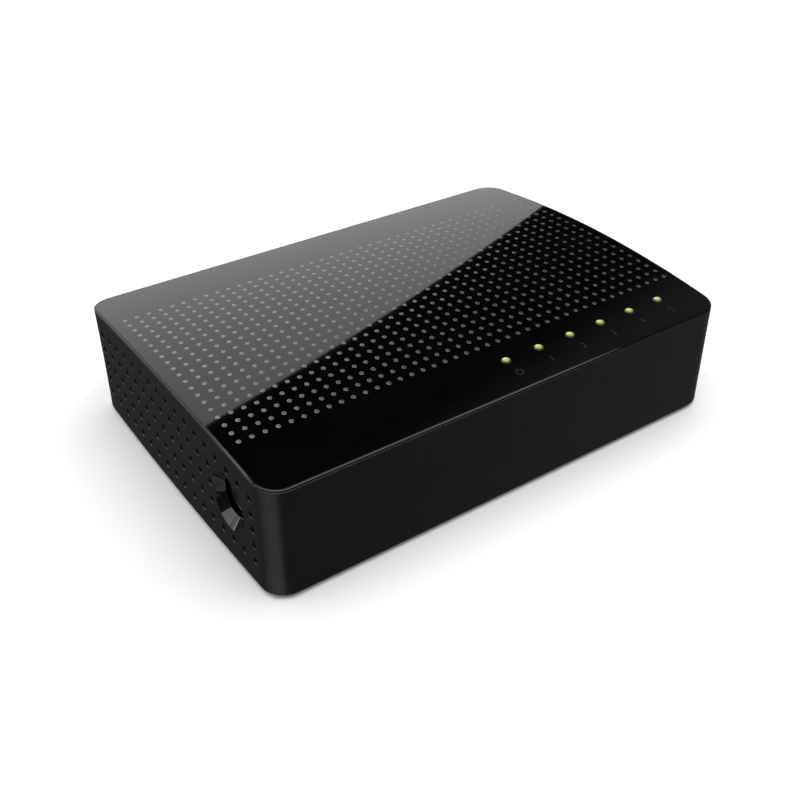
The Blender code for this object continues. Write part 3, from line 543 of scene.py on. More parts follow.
def add_prism(bm, outline, low, high):
    """Add an upright solid with an outline of (x, y) points."""
    base = bm.faces.new([bm.verts.new((x, y, low)) for x, y in outline])
    raised = bmesh.ops.extrude_face_region(bm, geom=[base])
    bmesh.ops.translate(bm, vec=(0.0, 0.0, high - low),
                        verts=[item for item in raised["geom"]
                               if isinstance(item, bmesh.types.BMVert)])


def arc(centre, radius, start, end, steps):
    """Points on an arc, from one angle to another in degrees."""
    angles = [math.radians(start + (end - start) * step / steps) for step in range(steps + 1)]
    return [(centre[0] + radius * math.cos(angle), centre[1] + radius * math.sin(angle))
            for angle in angles]


# ---------------------------------------------------------------- the case's form
def crown_z(y):
    """Height of the arched top at a place along Y."""
    return CROWN_TOP - (y - CROWN_CENTRE) ** 2 / (2.0 * CROWN_RADIUS)


def level(z):
    """A flat height for a ring of the case's form."""
    return lambda y: z


def crown(drop):
    """An arched height, this far below the case's top."""
    return lambda y: crown_z(y) - drop


def draft_at(z):
    """How far a wall has leant out at a height."""
    return WALL_DRAFT * (CROWN_TOP - z) / (CROWN_TOP - CASE_BOTTOM)


def half_width(y, z):
    """Distance from the middle to the outside of a side wall.

    The wall is flat half-way up, and bows out towards its top and its foot.
    """
    bow = SIDE_BULGE * max(1.0 - (2.0 * y / CASE_DEPTH) ** 2, 0.0)
    half_height = (CROWN_TOP - CASE_BOTTOM) / 2
    share = (z - CASE_BOTTOM) / half_height - 1.0
    return CASE_WIDTH / 2 + bow * share * share + draft_at(z)


def side_line(inset):
    """Plan of the right half from front to back: (how far the corner cuts x, y) points."""
    radius = CORNER_RADIUS - inset
    half_depth = CASE_DEPTH / 2 - inset
    straight = half_depth - radius
    front = [(radius * (1.0 - math.cos(angle)), -straight - radius * math.sin(angle))
             for angle in (math.pi / 2 * (1.0 - step / CORNER_STEPS)
                           for step in range(CORNER_STEPS))]
    side = [(0.0, straight * (2.0 * step / SIDE_STEPS - 1.0)) for step in range(SIDE_STEPS + 1)]
    back = [(cut, -y) for cut, y in reversed(front)]
    return front + side + back


def ring(inset, height):
    """One level loop of the case's form: up the left side, then down the right side."""
    left = []
    right = []
    for index, (_, base_y) in enumerate(side_line(inset)):    # only its place along Y counts
        z = height(base_y)
        cut, y = side_line(inset - draft_at(z))[index]
        x = half_width(y, z) - inset - cut
        left.append(Vector((-x, y, height(y))))
        right.append(Vector((x, y, height(y))))
    return left + right[::-1]


def case_solid(profile):
    """A bmesh lofted through (inset, height) rings, with strips across both ends."""
    bm = bmesh.new()
    loops = [[bm.verts.new(point) for point in ring(inset, height)] for inset, height in profile]
    bridge(bm, loops)
    for loop in (loops[0], loops[-1]):
        for index in range(len(loop) // 2 - 1):
            bm.faces.new((loop[index], loop[index + 1], loop[-index - 2], loop[-index - 1]))
    return bm


def wall_rings(inset, low, high):
    """(inset, height) pairs up a wall, between two heights along it."""
    shares = [step / WALL_STEPS for step in range(1, WALL_STEPS)]
    return [(inset, lambda y, share=share: low(y) + (high(y) - low(y)) * share)
            for share in shares]


def rounding(radius, steps, from_top):
    """(inset, drop) pairs around a rounded edge, downwards from the top face or upwards to it."""
    angles = [math.pi / 2 * step / steps for step in range(steps + 1)]
    pairs = [(radius * (1.0 - math.sin(angle)), radius * (1.0 - math.cos(angle)))
             for angle in angles]
    return pairs if from_top else pairs[::-1]


def vent_places(side):
    """Centres (y, z) of the vent holes in one side wall, clear of the power recess."""
    places = []
    for column in range(VENT_COLUMNS):
        y = (column - (VENT_COLUMNS - 1) / 2) * VENT_PITCH_Y
        pitch_z = VENT_PITCH_Z * (1.0 - VENT_PINCH * y * y)
        for row in range(VENT_ROWS):
            z = VENT_MIDDLE_Z + (row - (VENT_ROWS - 1) / 2) * pitch_z
            clearance = math.hypot(y - POWER_Y, z - POWER_Z)
            if side > 0 or clearance > POWER_RECESS_RADIUS + VENT_RADIUS:
                places.append((y, z))
    return places


def port_x(index):
    """Middle of a port across the back."""
    return (index - (PORT_COUNT - 1) / 2) * PORT_PITCH


# ---------------------------------------------------------------- casing
def shell_profile():
    """(inset, height) rings: from the panel's seat over the rim, down outside and up inside."""
    foot_edge = 0.3 * MM
    fillet = 0.5 * MM
    land = 0.04 * MM
    groove_top = 0.28 * MM
    groove_foot = 0.4 * MM
    groove_end = 0.46 * MM
    inner_top = crown(SEAT_DROP + ROOF_THICKNESS + fillet)
    profile = [(RIM_WIDTH, crown(SEAT_DROP)), (RIM_WIDTH, crown(land)),
               (RIM_WIDTH - land, crown(0.0))]
    profile += [(inset, crown(drop)) for inset, drop in rounding(RIM_ROUNDING, 5, True)]
    profile += [(GROOVE_DEPTH, crown(groove_top)), (GROOVE_DEPTH, crown(groove_foot)),
                (0.0, crown(groove_end))]
    profile += wall_rings(0.0, level(CASE_BOTTOM + foot_edge), crown(groove_end))[::-1]
    profile += [(inset, level(CASE_BOTTOM + drop))
                for inset, drop in rounding(foot_edge, 3, False)]
    profile.append((WALL, level(CASE_BOTTOM)))
    profile += wall_rings(WALL, level(CASE_BOTTOM), inner_top)
    profile += [(WALL, inner_top), (WALL + fillet, crown(SEAT_DROP + ROOF_THICKNESS))]
    return profile


def recess_cutter():
    """The round recess round the power socket, which narrows inwards and has an eased end."""
    outside = -half_width(POWER_Y, POWER_Z)
    slope = (POWER_RECESS_RADIUS - POWER_WAY_RADIUS) / (POWER_RECESS_END - outside)
    lip = 0.1 * MM
    profile = ((POWER_RECESS_RADIUS + slope * RECESS_OVERRUN, outside - RECESS_OVERRUN),
               (POWER_WAY_RADIUS + slope * lip, POWER_RECESS_END - lip),
               (POWER_WAY_RADIUS, POWER_RECESS_END + lip),
               (POWER_WAY_RADIUS, POWER_RECESS_END + RECESS_OVERRUN))
    return turned(profile, (0.0, POWER_Y, POWER_Z), X_AXIS, 96)


def vent_cutters():
    """The vent holes of both side walls, each flared at the outside."""
    vents = bmesh.new()
    flare = 0.1 * MM
    reach = 0.5 * MM
    for side in (-1, 1):
        for y, z in vent_places(side):
            wall = half_width(y, z)
            profile = ((VENT_RADIUS, wall - WALL - BEYOND), (VENT_RADIUS, wall - flare),
                       (VENT_RADIUS + flare + reach, wall + reach))
            add_turned(vents, profile, (0.0, y, z), X_AXIS * side, 20)
    return vents


def lamp_holes():
    """The holes for the lenses, through the panel and the roof under it."""
    return uprights(LAMP_PLACES, 18.0 * MM, 27.0 * MM, LAMP_HOLE_RADIUS, 40)


def polish(mesh):
    """Give the rim's rounded edge and the power recess the gloss finish."""
    margin = 0.02 * MM
    edge = RIM_ROUNDING + margin
    mesh.materials.append(MATERIALS["satin_black"])
    mesh.materials.append(MATERIALS["gloss_black"])
    for face in mesh.polygons:
        near_top = all(mesh.vertices[index].co.z > crown_z(mesh.vertices[index].co.y) - edge
                       for index in face.vertices)
        from_axis = math.hypot(face.center.y - POWER_Y, face.center.z - POWER_Z)
        in_recess = (face.center.x < POWER_RECESS_END + RECESS_OVERRUN
                     and abs(face.normal.x) < 0.95
                     and from_axis < POWER_RECESS_RADIUS + margin)
        if near_top or in_recess:
            face.material_index = 1


def make_shell():
    """Top cover: walls, polished rim, roof, bosses, power recess, port window and vents."""
    bosses = uprights(COVER_BOSSES, BOSS_END, BOSS_TOP, BOSS_RADIUS)
    pilots = uprights(COVER_BOSSES, BOSS_END - BEYOND, PILOT_TOP, PILOT_RADIUS, 24)
    half_window = PORTS_HIGH.x + GAP
    window = boxes(((-half_window, WINDOW_FRONT, -BEYOND),
                    (half_window, WINDOW_BACK, PORTS_HIGH.z + GAP)))
    mesh = carved(solid(case_solid(shell_profile())),
                  [('UNION', bosses), ('DIFFERENCE', recess_cutter()), ('DIFFERENCE', pilots),
                   ('DIFFERENCE', lamp_holes()), ('DIFFERENCE', window),
                   ('DIFFERENCE', vent_cutters())])
    polish(mesh)
    return finished_mesh(mesh, "top_shell", "satin_black", replaces=["top_cover"], sharp=28.0)


def make_panel():
    """The arched gloss sheet in the rim, with a clean rounded edge and a hole for each lamp."""
    inset = RIM_WIDTH + PANEL_GAP
    edge = 0.05 * MM
    profile = [(inset, crown(PANEL_THICKNESS))]
    profile += [(inset + cut, crown(drop)) for cut, drop in rounding(edge, 4, False)]
    mesh = carved(solid(case_solid(profile)), [('DIFFERENCE', lamp_holes())])
    return finished_mesh(mesh, "gloss_panel", "gloss_black", replaces=["top_panel"], sharp=28.0)


def dot_places():
    """Centres of the printed dots, a regular grid behind the lamps."""
    for row in range(DOT_ROWS):
        y = (row - (DOT_ROWS - 1) / 2) * DOT_PITCH + DOT_SHIFT.y
        for column in range(DOT_COLUMNS):
            yield (column - (DOT_COLUMNS - 1) / 2) * DOT_PITCH + DOT_SHIFT.x, y


def make_dots():
    """The grey dots: low rounded caps of ink that follow the arch."""
    cap = ((1.0, -0.4), (0.97, 0.5), (0.84, 0.9), (0.6, 1.0))    # shares of radius and height
    bm = bmesh.new()
    for x, y in dot_places():
        loops = []
        for share, rise in cap:
            radius = DOT_RADIUS * share
            loops.append([bm.verts.new((x + radius * across, y + radius * along,
                                        crown_z(y + radius * along) + DOT_HEIGHT * rise))
                          for across, along in circle(20)])
        bridge(bm, loops)
        bm.faces.new(loops[-1])
        bm.faces.new(loops[0][::-1])
    return finished(bm, "panel_dots", "gloss_black", material=DOT_PRINT, sharp=60.0)


def mark_mesh(name, text):
    """A printed number as a thin flat mesh, centred on the origin."""
    curve = bpy.data.curves.new(name, 'FONT')
    curve.body = text
    curve.size = MARK_HEIGHT / 0.7        # a digit is 0.7 of the letter size
    curve.align_x = 'CENTER'
    curve.align_y = 'CENTER'
    curve.extrude = PRINT_HEIGHT
    holder = placed(name, curve)
    depsgraph = bpy.context.evaluated_depsgraph_get()
    mesh = bpy.data.meshes.new_from_object(holder.evaluated_get(depsgraph))
    bpy.data.objects.remove(holder, do_unlink=True)
    mesh.materials.clear()
    return mesh


def power_mark_mesh(name):
    """The usual on/off sign: an open ring and a bar."""
    radius = 0.72 * MM
    line = 0.2 * MM
    bar_low = 0.15 * MM
    bar_high = 1.05 * MM
    outer = arc((0.0, 0.0), radius + line / 2, 130.0, 410.0, 28)
    inner = arc((0.0, 0.0), radius - line / 2, 410.0, 130.0, 28)
    bar = [(-line / 2, bar_low), (line / 2, bar_low), (line / 2, bar_high), (-line / 2, bar_high)]
    bm = bmesh.new()
    for outline in (outer + inner, bar):
        add_prism(bm, outline, -PRINT_HEIGHT, PRINT_HEIGHT)
    return mesh_of(bm, name)


def make_marks():
    """A small mark in front of each lamp: an on/off sign, then the ports' numbers."""
    for index, place in enumerate(LAMP_PLACES):
        name = f"lamp_mark_{index}"
        mesh = mark_mesh(name, str(index)) if index else power_mark_mesh(name)
        y = place.y - MARK_DROP
        slope = math.atan(-(y - CROWN_CENTRE) / CROWN_RADIUS)
        mesh.transform(Matrix.Translation((place.x, y, crown_z(y) + PRINT_HEIGHT))
                       @ Matrix.Rotation(slope, 4, 'X'))
        finished_mesh(mesh, name, "gloss_black", material=MARK_PRINT)


def make_light_guide():
    """One clear moulding: stems up from the lamps, a bar, and a domed lens at each hole."""
    bar_low = 19.0 * MM
    bar_high = 20.4 * MM
    half_bar = 1.0 * MM
    overlap = 0.5 * MM
    steps = 6
    first = LAMP_PLACES[0]
    last = LAMP_PLACES[-1]
    bar = solid(boxes(((first.x - half_bar, first.y - half_bar, bar_low),
                       (last.x + half_bar, last.y + half_bar, bar_high)), bevel=0.25 * MM))
    stems = uprights(LAMP_PLACES, GUIDE_FOOT, bar_low + overlap, 0.8 * MM)
    shoulder = crown_z(first.y) - 0.08 * MM
    profile = [(LENS_RADIUS, bar_high - overlap)]
    for step in range(steps):
        angle = math.pi / 2 * step / steps
        profile.append((LENS_RADIUS * math.cos(angle), shoulder + LENS_HEIGHT * math.sin(angle)))
    profile.append((0.0, shoulder + LENS_HEIGHT))
    heads = bmesh.new()
    for place in LAMP_PLACES:
        add_turned(heads, profile, (place.x, place.y, 0.0), steps=40)
    mesh = carved(bar, [('UNION', stems), ('UNION', heads)])
    return finished_mesh(mesh, "light_guide_lit", "guide_clear", replaces=["light_guide"])


def keyhole(x):
    """Outline of a hole to hang the case on a screw head, narrow towards the back."""
    wide = 3.7 * MM
    narrow = 1.9 * MM
    length = 8.5 * MM
    start = math.degrees(math.asin(narrow / wide))
    return (arc((x, 0.0), wide, 90.0 + start, 450.0 - start, 36)
            + arc((x, length), narrow, 0.0, 180.0, 18))


def rounded_slot(x, low, high, half):
    """Outline of a slot with round ends along Y."""
    return (arc((x, high - half), half, 0.0, 180.0, 10)
            + arc((x, low + half), half, 180.0, 360.0, 10))


def base_additions():
    """What stands on the floor plate: port sill, screw sleeves, board posts and ribs."""
    overlap = 0.5 * MM
    root = CASE_BOTTOM + overlap
    sill = boxes(((PORTS_LOW.x, SILL_FRONT, CASE_BOTTOM), (PORTS_HIGH.x, SILL_BACK, SILL_TOP)))
    sleeves = uprights(COVER_BOSSES, root, BOSS_END - GAP, BOSS_RADIUS + 0.3 * MM)
    posts = uprights(BOARD_POSTS, root, POST_TOP - GAP, POST_RADIUS)
    half_rib = 0.5 * MM
    ribs = boxes(*(((-RIB_REACH, y - half_rib, FLOOR_TOP - overlap),
                    (RIB_REACH, y + half_rib, FLOOR_TOP + RIB_HEIGHT)) for y in RIB_PLACES))
    return [('UNION', bm) for bm in (sill, sleeves, posts, ribs)]


def base_cuts():
    """What is cut from the bottom cover: screw seats and holes, foot seats, keyholes, slots."""
    seats = bmesh.new()
    holes = bmesh.new()
    for x, y in COVER_BOSSES:
        add_turned(seats, ((SCREW_SEAT_RADIUS + 0.8 * MM, CASE_BOTTOM - 0.6 * MM),
                           (SCREW_SEAT_RADIUS, CASE_BOTTOM + 0.2 * MM),
                           (SCREW_SEAT_RADIUS, CASE_BOTTOM + 1.3 * MM)), (x, y, 0.0))
    for places, radius, low in ((COVER_BOSSES, SCREW_HOLE_RADIUS, -BEYOND),
                                (BOARD_POSTS, POST_HOLE_RADIUS, 2.0 * MM)):
        for x, y in places:
            add_turned(holes, ((radius, low), (radius, 8.0 * MM)), (x, y, 0.0), steps=24)
    foot_seats = bmesh.new()
    for name in SCREW_NAMES:
        low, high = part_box("foot_" + name)
        middle = (low + high) / 2
        radius = (high.x - low.x) / 2 + GAP
        add_turned(foot_seats, ((radius, -BEYOND), (radius, high.z + 0.2 * MM)),
                   (middle.x, middle.y, 0.0))
    outlines = [keyhole(x) for x in (-KEYHOLE_X, KEYHOLE_X)]
    outlines += [rounded_slot((index - (FLOOR_SLOTS - 1) / 2) * FLOOR_SLOT_PITCH,
                              FLOOR_SLOT_FRONT, FLOOR_SLOT_BACK, FLOOR_SLOT_HALF)
                 for index in range(FLOOR_SLOTS)]
    openings = bmesh.new()
    for outline in outlines:
        add_prism(openings, outline, -BEYOND, FLOOR_CUT_TOP)
    return [('DIFFERENCE', bm) for bm in (seats, holes, foot_seats, openings)]


def make_base():
    """Bottom cover: floor plate, port sill, sleeves and posts, with its holes."""
    inset = WALL + GAP
    edge = 0.25 * MM
    profile = [(inset + cut, level(CASE_BOTTOM + drop)) for cut, drop in rounding(edge, 3, True)]
    profile.append((inset, level(FLOOR_TOP)))
    mesh = carved(solid(case_solid(profile)), base_additions() + base_cuts())
    return finished_mesh(mesh, "base_plate", "matte_black", replaces=["bottom_cover"], sharp=28.0)


def make_feet():
    """Rubber feet: round pads with a soft lower edge and a shallow ring."""
    soft = 0.45 * MM
    ring_depth = 0.2 * MM
    for name in SCREW_NAMES:
        low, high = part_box("foot_" + name)
        middle = (low + high) / 2
        radius = (high.x - low.x) / 2
        profile = [(0.0, high.z), (radius, high.z)]
        profile += [(radius - soft + soft * math.cos(angle), low.z + soft - soft * math.sin(angle))
                    for angle in (math.pi / 2 * step / 5 for step in range(6))]
        profile += [(2.6 * MM, low.z), (2.4 * MM, low.z + ring_depth),
                    (1.6 * MM, low.z + ring_depth), (1.4 * MM, low.z), (0.0, low.z)]
        finished(turned(profile, (middle.x, middle.y, 0.0), steps=64), "rubber_foot_" + name,
                 "rubber", replaces=["foot_" + name])


def make_label():
    """A blank label with round corners on the underside."""
    low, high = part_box("rating_label")
    radius = 1.6 * MM
    corners = ((high.x - radius, high.y - radius, 0.0), (low.x + radius, high.y - radius, 90.0),
               (low.x + radius, low.y + radius, 180.0), (high.x - radius, low.y + radius, 270.0))
    outline = []
    for x, y, start in corners:
        outline += arc((x, y), radius, start, start + 90.0, 8)
    bm = bmesh.new()
    thickness = 0.12 * MM
    glue = 0.005 * MM
    add_prism(bm, outline, CASE_BOTTOM - thickness, CASE_BOTTOM - glue)
    finished(bm, "blank_label", "label_paper", replaces=["rating_label"])


def screw_profile(head, head_height, shank, length):
    """(radius, distance) pairs of a screw: a rounded head, then a threaded shank."""
    thread_pitch = 0.8 * MM
    thread_depth = 0.18 * MM
    under_head = 0.2 * MM
    point = 1.0 * MM
    profile = [(0.0, -head_height)]
    profile += [(head * math.sin(angle), -head_height * (0.35 + 0.65 * math.cos(angle)))
                for angle in (math.radians(20.0 + 70.0 * step / 6) for step in range(7))]
    profile += [(head, 0.0), (shank, 0.0)]
    for turn in range(int((length - 1.2 * MM) / thread_pitch)):
        start = under_head + turn * thread_pitch
        profile += [(shank, start), (shank - thread_depth, start + thread_pitch / 2)]
    return profile + [(shank, length - point), (0.0, length)]


def make_screw(node, head_height, shank, away):
    """One screw in its CAD node's place, its shank pointing up (away 1) or down (-1)."""
    low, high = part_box(node)
    middle = (low + high) / 2
    head = (high.x - low.x) / 2
    seat = low.z + head_height if away > 0.0 else high.z - head_height
    profile = screw_profile(head, head_height, shank, high.z - low.z - head_height)
    screw = solid(turned(profile, (middle.x, middle.y, seat), Z_AXIS * away))
    reach = head * 0.55
    width = 0.25 * MM
    top = seat - away * head_height
    ends = sorted((top + away * head_height * 0.45, top - away * 0.5 * MM))
    cross = [('DIFFERENCE', boxes(((middle.x - half_x, middle.y - half_y, ends[0]),
                                   (middle.x + half_x, middle.y + half_y, ends[1]))))
             for half_x, half_y in ((reach, width), (width, reach))]
    finished_mesh(carved(screw, cross), "screw_" + node.replace("_screw", ""), "screw_steel",
                  replaces=[node])


def make_screws():
    """The four case screws, driven from below, and the board's two, driven from above."""
    for name in SCREW_NAMES:
        make_screw("case_screw_" + name, 1.0 * MM, 1.2 * MM, 1.0)
    for name in ("left", "right"):
        make_screw("board_screw_" + name, 1.2 * MM, 1.0 * MM, -1.0)


# ---------------------------------------------------------------- sockets
def add_mouth(bm, x, face):
    """Add the cutter that chamfers the edge of a port's mouth."""
    chamfer = 0.45 * MM
    below = 0.05 * MM
    half = PORT_WIDTH / 2
    wide = half + chamfer
    inner = [(-half, PORT_FLOOR), (half, PORT_FLOOR), (half, PORT_CEILING), (-half, PORT_CEILING)]
    outer = [(-wide, PORT_FLOOR - below), (wide, PORT_FLOOR - below),
             (wide, PORT_CEILING + chamfer), (-wide, PORT_CEILING + chamfer)]
    loops = [[bm.verts.new((x + across, y, z)) for across, z in outline]
             for outline, y in ((inner, face - chamfer), (outer, face), (outer, face + 0.2 * MM))]
    bridge(bm, loops)
    bm.faces.new(loops[0][::-1])
    bm.faces.new(loops[-1])


def make_ports():
    """The ganged port housing: chamfered mouths, latch notches and wire combs."""
    low, high = PORTS_LOW, PORTS_HIGH
    face = high.y
    outside = face + BEYOND
    middles = [port_x(index) for index in range(PORT_COUNT)]
    cuts = []
    # The cavity, the latch's notch and its key slot, and the pocket over the wires.
    for half, front, back, bottom, top in (
            (PORT_WIDTH / 2, face - PORT_CAVITY_DEPTH, outside, PORT_FLOOR, PORT_CEILING),
            (3.1 * MM, face - 11.0 * MM, outside, PORT_FLOOR - 1.3 * MM, PORT_FLOOR + 0.5 * MM),
            (1.7 * MM, face - 8.0 * MM, outside, PORT_FLOOR - 2.4 * MM, PORT_FLOOR - 1.0 * MM),
            (4.5 * MM, face - 12.0 * MM, face - 1.6 * MM, PORT_CEILING - 0.5 * MM,
             PORT_CEILING + 1.8 * MM)):
        cuts.append(boxes(*(((x - half, front, bottom), (x + half, back, top)) for x in middles)))
    mouths = bmesh.new()
    for x in middles:
        add_mouth(mouths, x, face)
    between = [x - PORT_PITCH / 2 for x in middles[1:]]
    seams = boxes(*(((x - PORT_SEAM / 2, face - 0.2 * MM, low.z - BEYOND),
                     (x + PORT_SEAM / 2, outside, high.z + BEYOND)) for x in between))
    mesh = carved(solid(boxes((low, high), bevel=0.25 * MM)),
                  [('DIFFERENCE', bm) for bm in (*cuts, mouths, seams)])
    finished_mesh(mesh, "port_block", "socket_black", replaces=["port_housing"], sharp=28.0)


def make_port_wires():
    """Eight gold spring wires for each port, on the strip that they turn with."""
    radius = 0.2 * MM
    length = 7.8 * MM
    set_back = 0.1 * MM
    droop = 0.16 * MM
    tilt = math.radians(22.0)
    steps = 12
    middle = (WIRE_COUNT - 1) / 2
    strip = Vector((middle * WIRE_PITCH + 0.3 * MM, 0.35 * MM, 0.2 * MM))
    inward = Vector((0.0, -math.cos(tilt), -math.sin(tilt)))
    for index in range(PORT_COUNT):
        node = f"port_{index + 1}_contacts"
        hinge = Vector((port_x(index), PORTS_HIGH.y - 3.2 * MM, 17.7 * MM))
        bm = bmesh.new()
        add_box(bm, hinge - strip, hinge + strip, 0.08 * MM, 1)
        for wire in range(WIRE_COUNT):
            root = hinge + X_AXIS * ((wire - middle) * WIRE_PITCH)
            points = []
            for share in (step / steps for step in range(steps + 1)):
                sag = droop * math.sin(math.pi * share)
                points.append(root + inward * (length * share - set_back) - Z_AXIS * sag)
            add_tube(bm, points, radius)
        finished(bm, f"port_{index + 1}_wires", "contact_gold", node, [node])


def make_power_body():
    """The power socket's body with its bore, the slot for its leaf and the hole for its pin."""
    low, high = SOCKET_LOW, SOCKET_HIGH
    axis_foot = (0.0, POWER_Y, POWER_Z)
    half_slot = 2.2 * MM
    pin_hole_radius = 1.25 * MM
    bore = turned(((POWER_BORE_RADIUS + 0.65 * MM, low.x - 0.5 * MM),
                   (POWER_BORE_RADIUS, low.x + 0.15 * MM),
                   (POWER_BORE_RADIUS, low.x + 10.2 * MM)), axis_foot, X_AXIS, 64)
    slot = boxes(((low.x + 1.4 * MM, POWER_Y - half_slot, POWER_Z - 5.2 * MM),
                  (high.x + BEYOND, POWER_Y + half_slot, POWER_Z - 2.2 * MM)))
    pin_hole = turned(((pin_hole_radius, low.x + 8.0 * MM), (pin_hole_radius, high.x + BEYOND)),
                      axis_foot, X_AXIS, 32)
    mesh = carved(solid(boxes((low, high), bevel=0.3 * MM)),
                  [('DIFFERENCE', bm) for bm in (bore, slot, pin_hole)])
    finished_mesh(mesh, "power_socket_shell", "socket_black", replaces=["power_socket_body"])


def make_power_pin():
    """The power socket's turned pin, with a rounded tip."""
    low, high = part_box("power_socket_pin")
    radius = (high.z - low.z) / 2
    shoulder = 0.5 * MM
    tip = 0.7 * MM
    edge = 0.2 * MM
    profile = [(0.0, low.x)]
    profile += [(radius - shoulder + shoulder * math.sin(angle),
                 low.x + tip * (1.0 - math.cos(angle)))
                for angle in (math.pi / 2 * step / 6 for step in range(7))]
    profile += [(radius, high.x - edge), (radius - edge, high.x), (0.0, high.x)]
    finished(turned(profile, (0.0, POWER_Y, POWER_Z), X_AXIS), "power_pin", "nickel",
             replaces=["power_socket_pin"])


def make_power_leaf():
    """The power socket's sprung leaf, bent from flat strip, on its hinge."""
    joint = next(joint for joint in frame["joints"] if joint["child"] == "power_socket_leaf")
    hinge = Vector(joint["pos_m"])
    low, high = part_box("power_socket_leaf")
    half = (high.y - low.y) / 2
    thick = 0.15 * MM
    bends = ((0.6, 0.0), (0.0, 0.0), (-3.9, 0.98), (-7.0, 1.62), (-7.9, 1.7), (-8.6, 1.52),
             (-9.4, 1.2))        # millimetres along X and Z from the hinge
    bm = bmesh.new()
    loops = []
    for along, rise in bends:
        centre = hinge + Vector((along * MM, 0.0, rise * MM))
        loops.append([bm.verts.new(centre + Vector((0.0, half * across, thick * up)))
                      for across, up in ((-1, -1), (1, -1), (1, 1), (-1, 1))])
    bridge(bm, loops)
    bm.faces.new(loops[0])
    bm.faces.new(loops[-1])
    bmesh.ops.bevel(bm, geom=[edge for edge in bm.edges if edge.calc_face_angle(0.0) > 1.0],
                    offset=0.05 * MM, segments=2, profile=0.5, affect='EDGES')
    finished(bm, "power_leaf", "nickel", "power_socket_leaf", ["power_socket_leaf"])


def finish_inner_nodes():
    """Give each CAD node that still shows the finish of its slot in the record."""
    for entry in frame["record"]["subparts"]:
        node = frame["nodes"][entry["node"]]
        if node.hide_render:
            continue
        node.data.materials.clear()
        node.data.materials.append(MATERIALS[entry["material_slot"]])


# ---------------------------------------------------------------- studio
def emitter(name, strength):
    """A plain light-giving material for the studio's panels."""
    material = bpy.data.materials.new(name)
    material.use_nodes = True
    tree = material.node_tree
    tree.nodes.clear()
    light = tree.nodes.new("ShaderNodeEmission")
    light.inputs["Color"].default_value = (1.0, 1.0, 1.0, 1.0)
    light.inputs["Strength"].default_value = strength
    output = tree.nodes.new("ShaderNodeOutputMaterial")
    tree.links.new(light.outputs[0], output.inputs["Surface"])
    return material


def stage_object(name, bm, material, camera=False, glossy=True, diffuse=True):
    """An object of the studio, with the kinds of ray that see it."""
    mesh = bpy.data.meshes.new(name)
    bm.to_mesh(mesh)
    bm.free()
    mesh.materials.append(material)
    made = placed(name, mesh)
    made.visible_camera = camera
    made.visible_glossy = glossy
    made.visible_diffuse = diffuse
    made.visible_transmission = glossy
    made.visible_shadow = False
    return made


def polygon(points):
    """A bmesh of one flat face."""
    bm = bmesh.new()
    bm.faces.new([bm.verts.new(point) for point in points])
    return bm


def camera_place():
    """Where the camera stands."""
    back = Vector((math.sin(CAMERA_AZIMUTH) * math.cos(CAMERA_ELEVATION),
                   -math.cos(CAMERA_AZIMUTH) * math.cos(CAMERA_ELEVATION),
                   math.sin(CAMERA_ELEVATION)))
    return CAMERA_AIM + back * CAMERA_DISTANCE, back


def mirrored(x, y, distance):
    """A point that the camera sees mirrored in the arched top at (x, y), this far along."""
    place = Vector((x, y, crown_z(y)))
    normal = Vector((0.0, (y - CROWN_CENTRE) / CROWN_RADIUS, 1.0)).normalized()
    ray = (place - camera_place()[0]).normalized()
    return place + ray.reflect(normal) * distance


# Where the back card's upper edge is mirrored in the top: a nearly straight line from the left
# rim, in front of the middle, to the right rim, behind the middle.
CARD_EDGE_MIDDLE = -2.0 * MM
CARD_EDGE_SLOPE = 0.324
CARD_EDGE_BEND = 0.84            # per metre
CARD_EDGE_REACH = 51.0 * MM
CARD_EDGE_STEPS = 10
CARD_DISTANCE = 1.1
CARD_LIGHT = 1.25
LEFT_CARD_LIGHT = 2.0
RIM_CARD_LIGHT = 4.0
RECESS_CARD_LIGHT = 0.36
CORNER_CARD_LIGHT = 0.62
FRONT_CARD_LIGHT = 0.16
TOP_LIGHT = 2.6
ROOM_LIGHT = 0.62
UPPER_GLOW = 0.011
FRONT_GLOW = 0.11
LOWER_GLOW = 0.078


def make_card():
    """The big light card behind the switch, whose edge crosses the top's reflection."""
    edge = []
    for step in range(CARD_EDGE_STEPS + 1):
        x = CARD_EDGE_REACH * (2.0 * step / CARD_EDGE_STEPS - 1.0)
        y = CARD_EDGE_MIDDLE + CARD_EDGE_SLOPE * x + CARD_EDGE_BEND * x * x
        edge.append(mirrored(x, y, CARD_DISTANCE))
    far_low = mirrored(CARD_EDGE_REACH, 36.0 * MM, CARD_DISTANCE)
    left = CARD_DISTANCE * Vector((-1.35, 0.9, 0.0))
    # From the edge's right end: down, along the foot to the far left, up, and back to the edge.
    points = edge + [far_low + Vector((0.0, 0.0, -0.25)),
                     Vector((far_low.x - 0.9, far_low.y + 0.2, -0.05)),
                     left + Vector((0.0, 0.0, 0.05)), left + Vector((0.0, 0.0, 1.2)),
                     edge[0] + Vector((-0.35, 0.05, 0.3))]
    bm = bmesh.new()
    fan = [bm.verts.new(point) for point in points]
    middle = bm.verts.new(sum(points, Vector()) / len(points) + Vector((-0.15, 0.1, 0.0)))
    for first, second in zip(fan, fan[1:] + fan[:1]):
        bm.faces.new((middle, first, second))
    stage_object("light_card", bm, emitter("card_light", CARD_LIGHT), diffuse=False)


